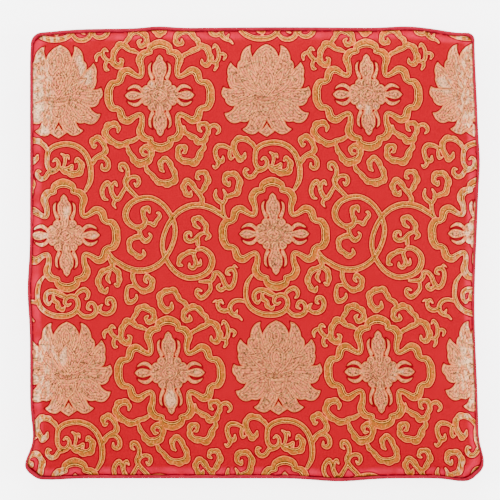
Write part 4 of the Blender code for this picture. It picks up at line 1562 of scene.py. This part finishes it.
def vine_color(weave):
    """Khaki, straw and khaki across the vine, then gold with olive patches. Some floats anywhere
    are khaki or straw, and both edges have a pale outline."""
    gilt = (weave.patchy.above(*OLIVE_PATCHES) * SHARE["olive"]).blend(GOLD, OLIVE)
    color = weave.across.above(STRAW_FROM).blend(KHAKI, STRAW)
    color = color.mix(weave.across.above(KHAKI_FROM), KHAKI)
    color = color.mix(weave.across.above(GILT_FROM), gilt)
    khaki = weave.chance.below(VINE_KHAKI_TO, CHANCE_SOFT)
    straw = weave.chance.above(VINE_GILT_TO, CHANCE_SOFT)
    color = color.mix(khaki * SHARE["stray_float"], KHAKI)
    color = color.mix(straw * SHARE["stray_float"], STRAW)
    return color.mix(weave.band.below(VINE_OUTLINE), OUTLINE)


def flower_color(weave):
    """Floats of five colours by chance, then from the broad to the fine what lies over them:
    dots, veins, a line inside each petal's outline, the outlines, and the flower's own rim."""
    chance, petal = weave.chance, weave.petal
    color = chance.above(PEACH_TO, CHANCE_SOFT).blend(PEACH, PINK)
    color = color.mix(chance.below(SAGE_TO, CHANCE_SOFT) * SHARE["sage"], SAGE)
    color = color.mix(chance.below(BROWN_TO, CHANCE_SOFT) * SHARE["brown"], BROWN)
    color = color.mix(chance.above(PINK_TO, CHANCE_SOFT) * SHARE["cream"], CREAM)
    color = color.mix(weave.dots.above(*DOTS) * SHARE["dots"], BROWN)
    color = color.mix(weave.veins * SHARE["veins"], BROWN)
    color = color.mix(petal.between(*PETAL_LINE) * SHARE["petal_line"], CREAM)
    color = color.mix(petal.below(*PETAL_OUTLINE) * SHARE["petal_outline"], BROWN)
    return color.mix(weave.flower.below(FLOWER_OUTLINE) * SHARE["flower_outline"], OUTLINE)


# %% [markdown]
# ## Glints, relief and the whole brocade
#
# The figure is woven with metallic threads and stands a little proud of the satin. Where the
# panel turns down to the left and right seams, and on a few outer petals, a silver glint is
# painted into its colour, and shade is painted dark into the crease along the piping. The relief
# is far too fine for the mesh, so it is a height that only bends the normal.

# %% Brocade material
def glint_shares(start, weave):
    """Where a painted silver glint stands for light mirrored by the metallic threads: in crumples
    where the panel turns down to the left and right seams, and on a few patches of outer
    petals, more on some floats than on others."""
    place = start.add("ShaderNodeTexCoord", output=3)
    sideways = coordinate(start, place, 0).size()
    turned = weave.inward.above(*GLINT_FROM) * weave.inward.below(*GLINT_TO)
    glint = turned * sideways.above(*GLINT_SIDES) * weave.crumple.above(*CRUMPLES)
    glint = glint * (GLINT_LEAST + GLINT_MORE * weave.chance)
    petals = weave.shine.above(*SHINING) * weave.petal.above(*PETAL_GLINT_FROM)
    petals = petals * sideways.above(*PETAL_GLINT_SIDES)
    return glint, petals * (PETAL_GLINT_LEAST + PETAL_GLINT_MORE * weave.chance)


def weave_height(weave, figure, in_band, in_flower):
    """The figure stands proud of the satin. Weft ribs show on it and warp ribs beside it, veins
    and the vines' furrow lie deeper, and dots, slubs and crumples are laid over all."""
    threads = ribs(weave.y, WEFT_PITCH) * figure + ribs(weave.x, WARP_PITCH) * (1 - figure)
    height = figure * FIGURE_HEIGHT + threads * THREAD_HEIGHT
    height = height - weave.veins * in_flower * VEIN_DEPTH
    height = height - weave.across.between(*FURROW) * in_band * FURROW_DEPTH
    height = height + weave.dots * figure * DOT_HEIGHT + weave.grain * GRAIN_HEIGHT
    return height + weave.crumple * in_flower * CRUMPLE_HEIGHT


def brocade_material():
    """Ground, vines over it and flowers over both, with painted silver glints and painted shade
    in the crease along the piping.
    """
    material, shader, start = new_material("red_gold_brocade")
    weave = read_weave(start)
    in_band = weave.band.above(BAND_EDGE)
    in_flower = weave.flower.above(FLOWER_EDGE)
    figure = in_band.most(in_flower)
    glint, petal_glint = glint_shares(start, weave)
    # Painted silver glints laid over the vines and the flowers
    vines = vine_color(weave).mix(glint * SHARE["vine_glint"], GLINT_SILVER)
    flowers = flower_color(weave).mix(glint * SHARE["flower_glint"], GLINT_SILVER)
    flowers = flowers.mix(petal_glint, GLINT_SILVER)
    color = ground_color(weave).mix(in_band, vines).mix(in_flower, flowers)
    # Painted shade: the ground darkens in patches in the crease along the piping
    crease = weave.inward.below(*CREASE_SHADE_TO) * weave.patchy.above(*CREASE_SHADE_PATCHES)
    color = color.mix(crease * SHARE["crease"], CREASE_SHADE_RED)
    constants = {"Specular IOR Level": SATIN_SPECULAR, "Specular Tint": RED_GLOSS}
    finish_shader(shader, constants, {
        "Base Color": color,
        "Metallic": figure * FIGURE_METAL + in_flower * FLOWER_METAL,
        "Roughness": SATIN_ROUGHNESS - figure * FIGURE_SMOOTHER,
        "Normal": raised(start, weave_height(weave, figure, in_band, in_flower)),
    })
    return material


brocade = brocade_material()
print("brocade:", len(brocade.node_tree.nodes), "nodes")

# %% [markdown]
# ## Plain satin
#
# The boxing and the piping are of plain satin in a deeper red, and the underside of a duller
# plain cloth. They have threads, a slight cloudiness and no pattern.

# %% Plain materials
PINK_GLOSS = (1.0, 0.30, 0.34, 1.0)
PLAIN_CLOUD_SIZE, SLUB_SIZE = 18.0, 1.4
PLAIN_CLOUD_SHARE, SLUB_SHARE, SLUB_ROUGHNESS = 0.6, 0.25, 0.1
FIRST_THREADS, SECOND_PITCH = 0.6, 1.3       # share of the closer threads, pitch of the others
PLAIN_THREAD_HEIGHT, SLUB_HEIGHT = 0.00004, 0.00008
PLAIN_SLUBS = (0.5, 0.6)
PLAIN_SPECULAR, FUZZ_ROUGHNESS = 0.2, 0.35


def plain_material(name, light, dark, roughness, sheen, pitch, slanted=False):
    """Plain cloth: threads along or slantwise, with cloudy changes of colour and gloss."""
    material, shader, start = new_material(name)
    x, y = cloth_mm(start)
    if slanted:
        x, y = x + y, y - x
    threads = ribs(x, pitch) * FIRST_THREADS + ribs(y, pitch * SECOND_PITCH) * (1 - FIRST_THREADS)
    cloudy = noise(start, x, y, PLAIN_CLOUD_SIZE, 2.0)
    slub = noise(start, x, y, SLUB_SIZE, 3.0)
    share = cloudy.above(*CLOUDS) * PLAIN_CLOUD_SHARE + slub.above(*PLAIN_SLUBS) * SLUB_SHARE
    constants = {
        "Sheen Weight": sheen,
        "Sheen Roughness": FUZZ_ROUGHNESS,
        "Specular IOR Level": PLAIN_SPECULAR,
        "Specular Tint": PINK_GLOSS,
    }
    finish_shader(shader, constants, {
        "Base Color": share.blend(light, dark),
        "Roughness": roughness + slub * SLUB_ROUGHNESS,
        "Normal": raised(start, threads * PLAIN_THREAD_HEIGHT + slub * SLUB_HEIGHT),
    })
    return material


SATIN, DARK_SATIN = (0.2, 0.0003, 0.005, 1.0), (0.13, 0.0003, 0.003, 1.0)
PIPED, DARK_PIPED = (0.37, 0.003, 0.026, 1.0), (0.20, 0.0005, 0.010, 1.0)
BACKING, DARK_BACKING = (0.24, 0.002, 0.008, 1.0), (0.17, 0.001, 0.005, 1.0)
satin = plain_material("red_satin", SATIN, DARK_SATIN, roughness=0.38, sheen=0.0, pitch=0.45)
bias_satin = plain_material(
    "red_satin_bias", PIPED, DARK_PIPED, roughness=0.34, sheen=0.0, pitch=0.45, slanted=True,
)
backing = plain_material(
    "red_backing_cloth", BACKING, DARK_BACKING, roughness=0.62, sheen=0.1, pitch=0.6,
)
for material in (brocade, satin, backing):
    cover.data.materials.append(material)
for piece in piping:
    piece.data.materials.append(bias_satin)
print("materials:", [material.name for material in cover.data.materials], bias_satin.name)

# %% [markdown]
# ## Studio
#
# The photograph has a white ground and soft light from all round, so four broad lights stand
# round the cushion, none of them straight above, where the satin would mirror it and look
# washed out. The one at the back is the strongest, because the red gets lighter towards the
# back in the photograph. The floor is a plain pale plane, and the world gives an even fill.

# %% Floor and lights
FLOOR_SIZE = 8.0
WHITE = (1.0, 1.0, 1.0, 1.0)
PAPER = (0.93, 0.93, 0.93, 1.0)
PAPER_ROUGHNESS = 0.9
PAPER_GLOW = 4.2             # the paper gives light of its own, so that it shows white
WORLD_LIGHT = 0.62

Softbox = namedtuple("Softbox", "name place size power")
SOFTBOXES = (
    Softbox("softbox_back", (0.0, 2.0, 1.7), 1.4, 88),
    Softbox("softbox_front", (0.0, -2.0, 1.7), 1.4, 16),
    Softbox("softbox_left", (-1.6, 0.1, 2.0), 1.0, 53),
    Softbox("softbox_right", (1.6, -0.1, 2.0), 1.0, 53),
)


def add_floor():
    """A white plane at the height of the underside."""
    corners = np.array([(-1, -1, 0), (1, -1, 0), (1, 1, 0), (-1, 1, 0)]) * FLOOR_SIZE / 2
    floor = add_mesh("floor", corners, [[0, 1, 2, 3]])
    material, shader, _ = new_material("white_paper")
    finish_shader(shader, {
        "Base Color": PAPER,
        "Roughness": PAPER_ROUGHNESS,
        "Specular IOR Level": 0.0,
        "Emission Color": WHITE,
        "Emission Strength": PAPER_GLOW,
    }, {})
    floor.data.materials.append(material)


def add_softbox(box):
    """A square area light at its place, turned to the cushion."""
    light = bpy.data.lights.new(box.name, "AREA")
    light.size = box.size
    light.energy = box.power
    lamp = bpy.data.objects.new(box.name, light)
    lamp.location = box.place
    lamp.rotation_euler = (-Vector(box.place)).to_track_quat("-Z", "Y").to_euler()
    bpy.context.scene.collection.objects.link(lamp)


def light_world():
    """An even white fill from all round."""
    world = bpy.data.worlds.new("studio")
    world.use_nodes = True
    background = world.node_tree.nodes["Background"].inputs
    background["Color"].default_value = WHITE
    background["Strength"].default_value = WORLD_LIGHT
    bpy.context.scene.world = world


add_floor()
for box in SOFTBOXES:
    add_softbox(box)
light_world()
print("lights:", [box.name for box in SOFTBOXES])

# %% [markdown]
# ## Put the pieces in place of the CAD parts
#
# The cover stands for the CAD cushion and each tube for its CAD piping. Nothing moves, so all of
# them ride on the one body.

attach(cover, "root")
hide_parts("cushion")
for piece, node in zip(piping, ("piping_top", "piping_bottom")):
    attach(piece, "root")
    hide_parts(node)
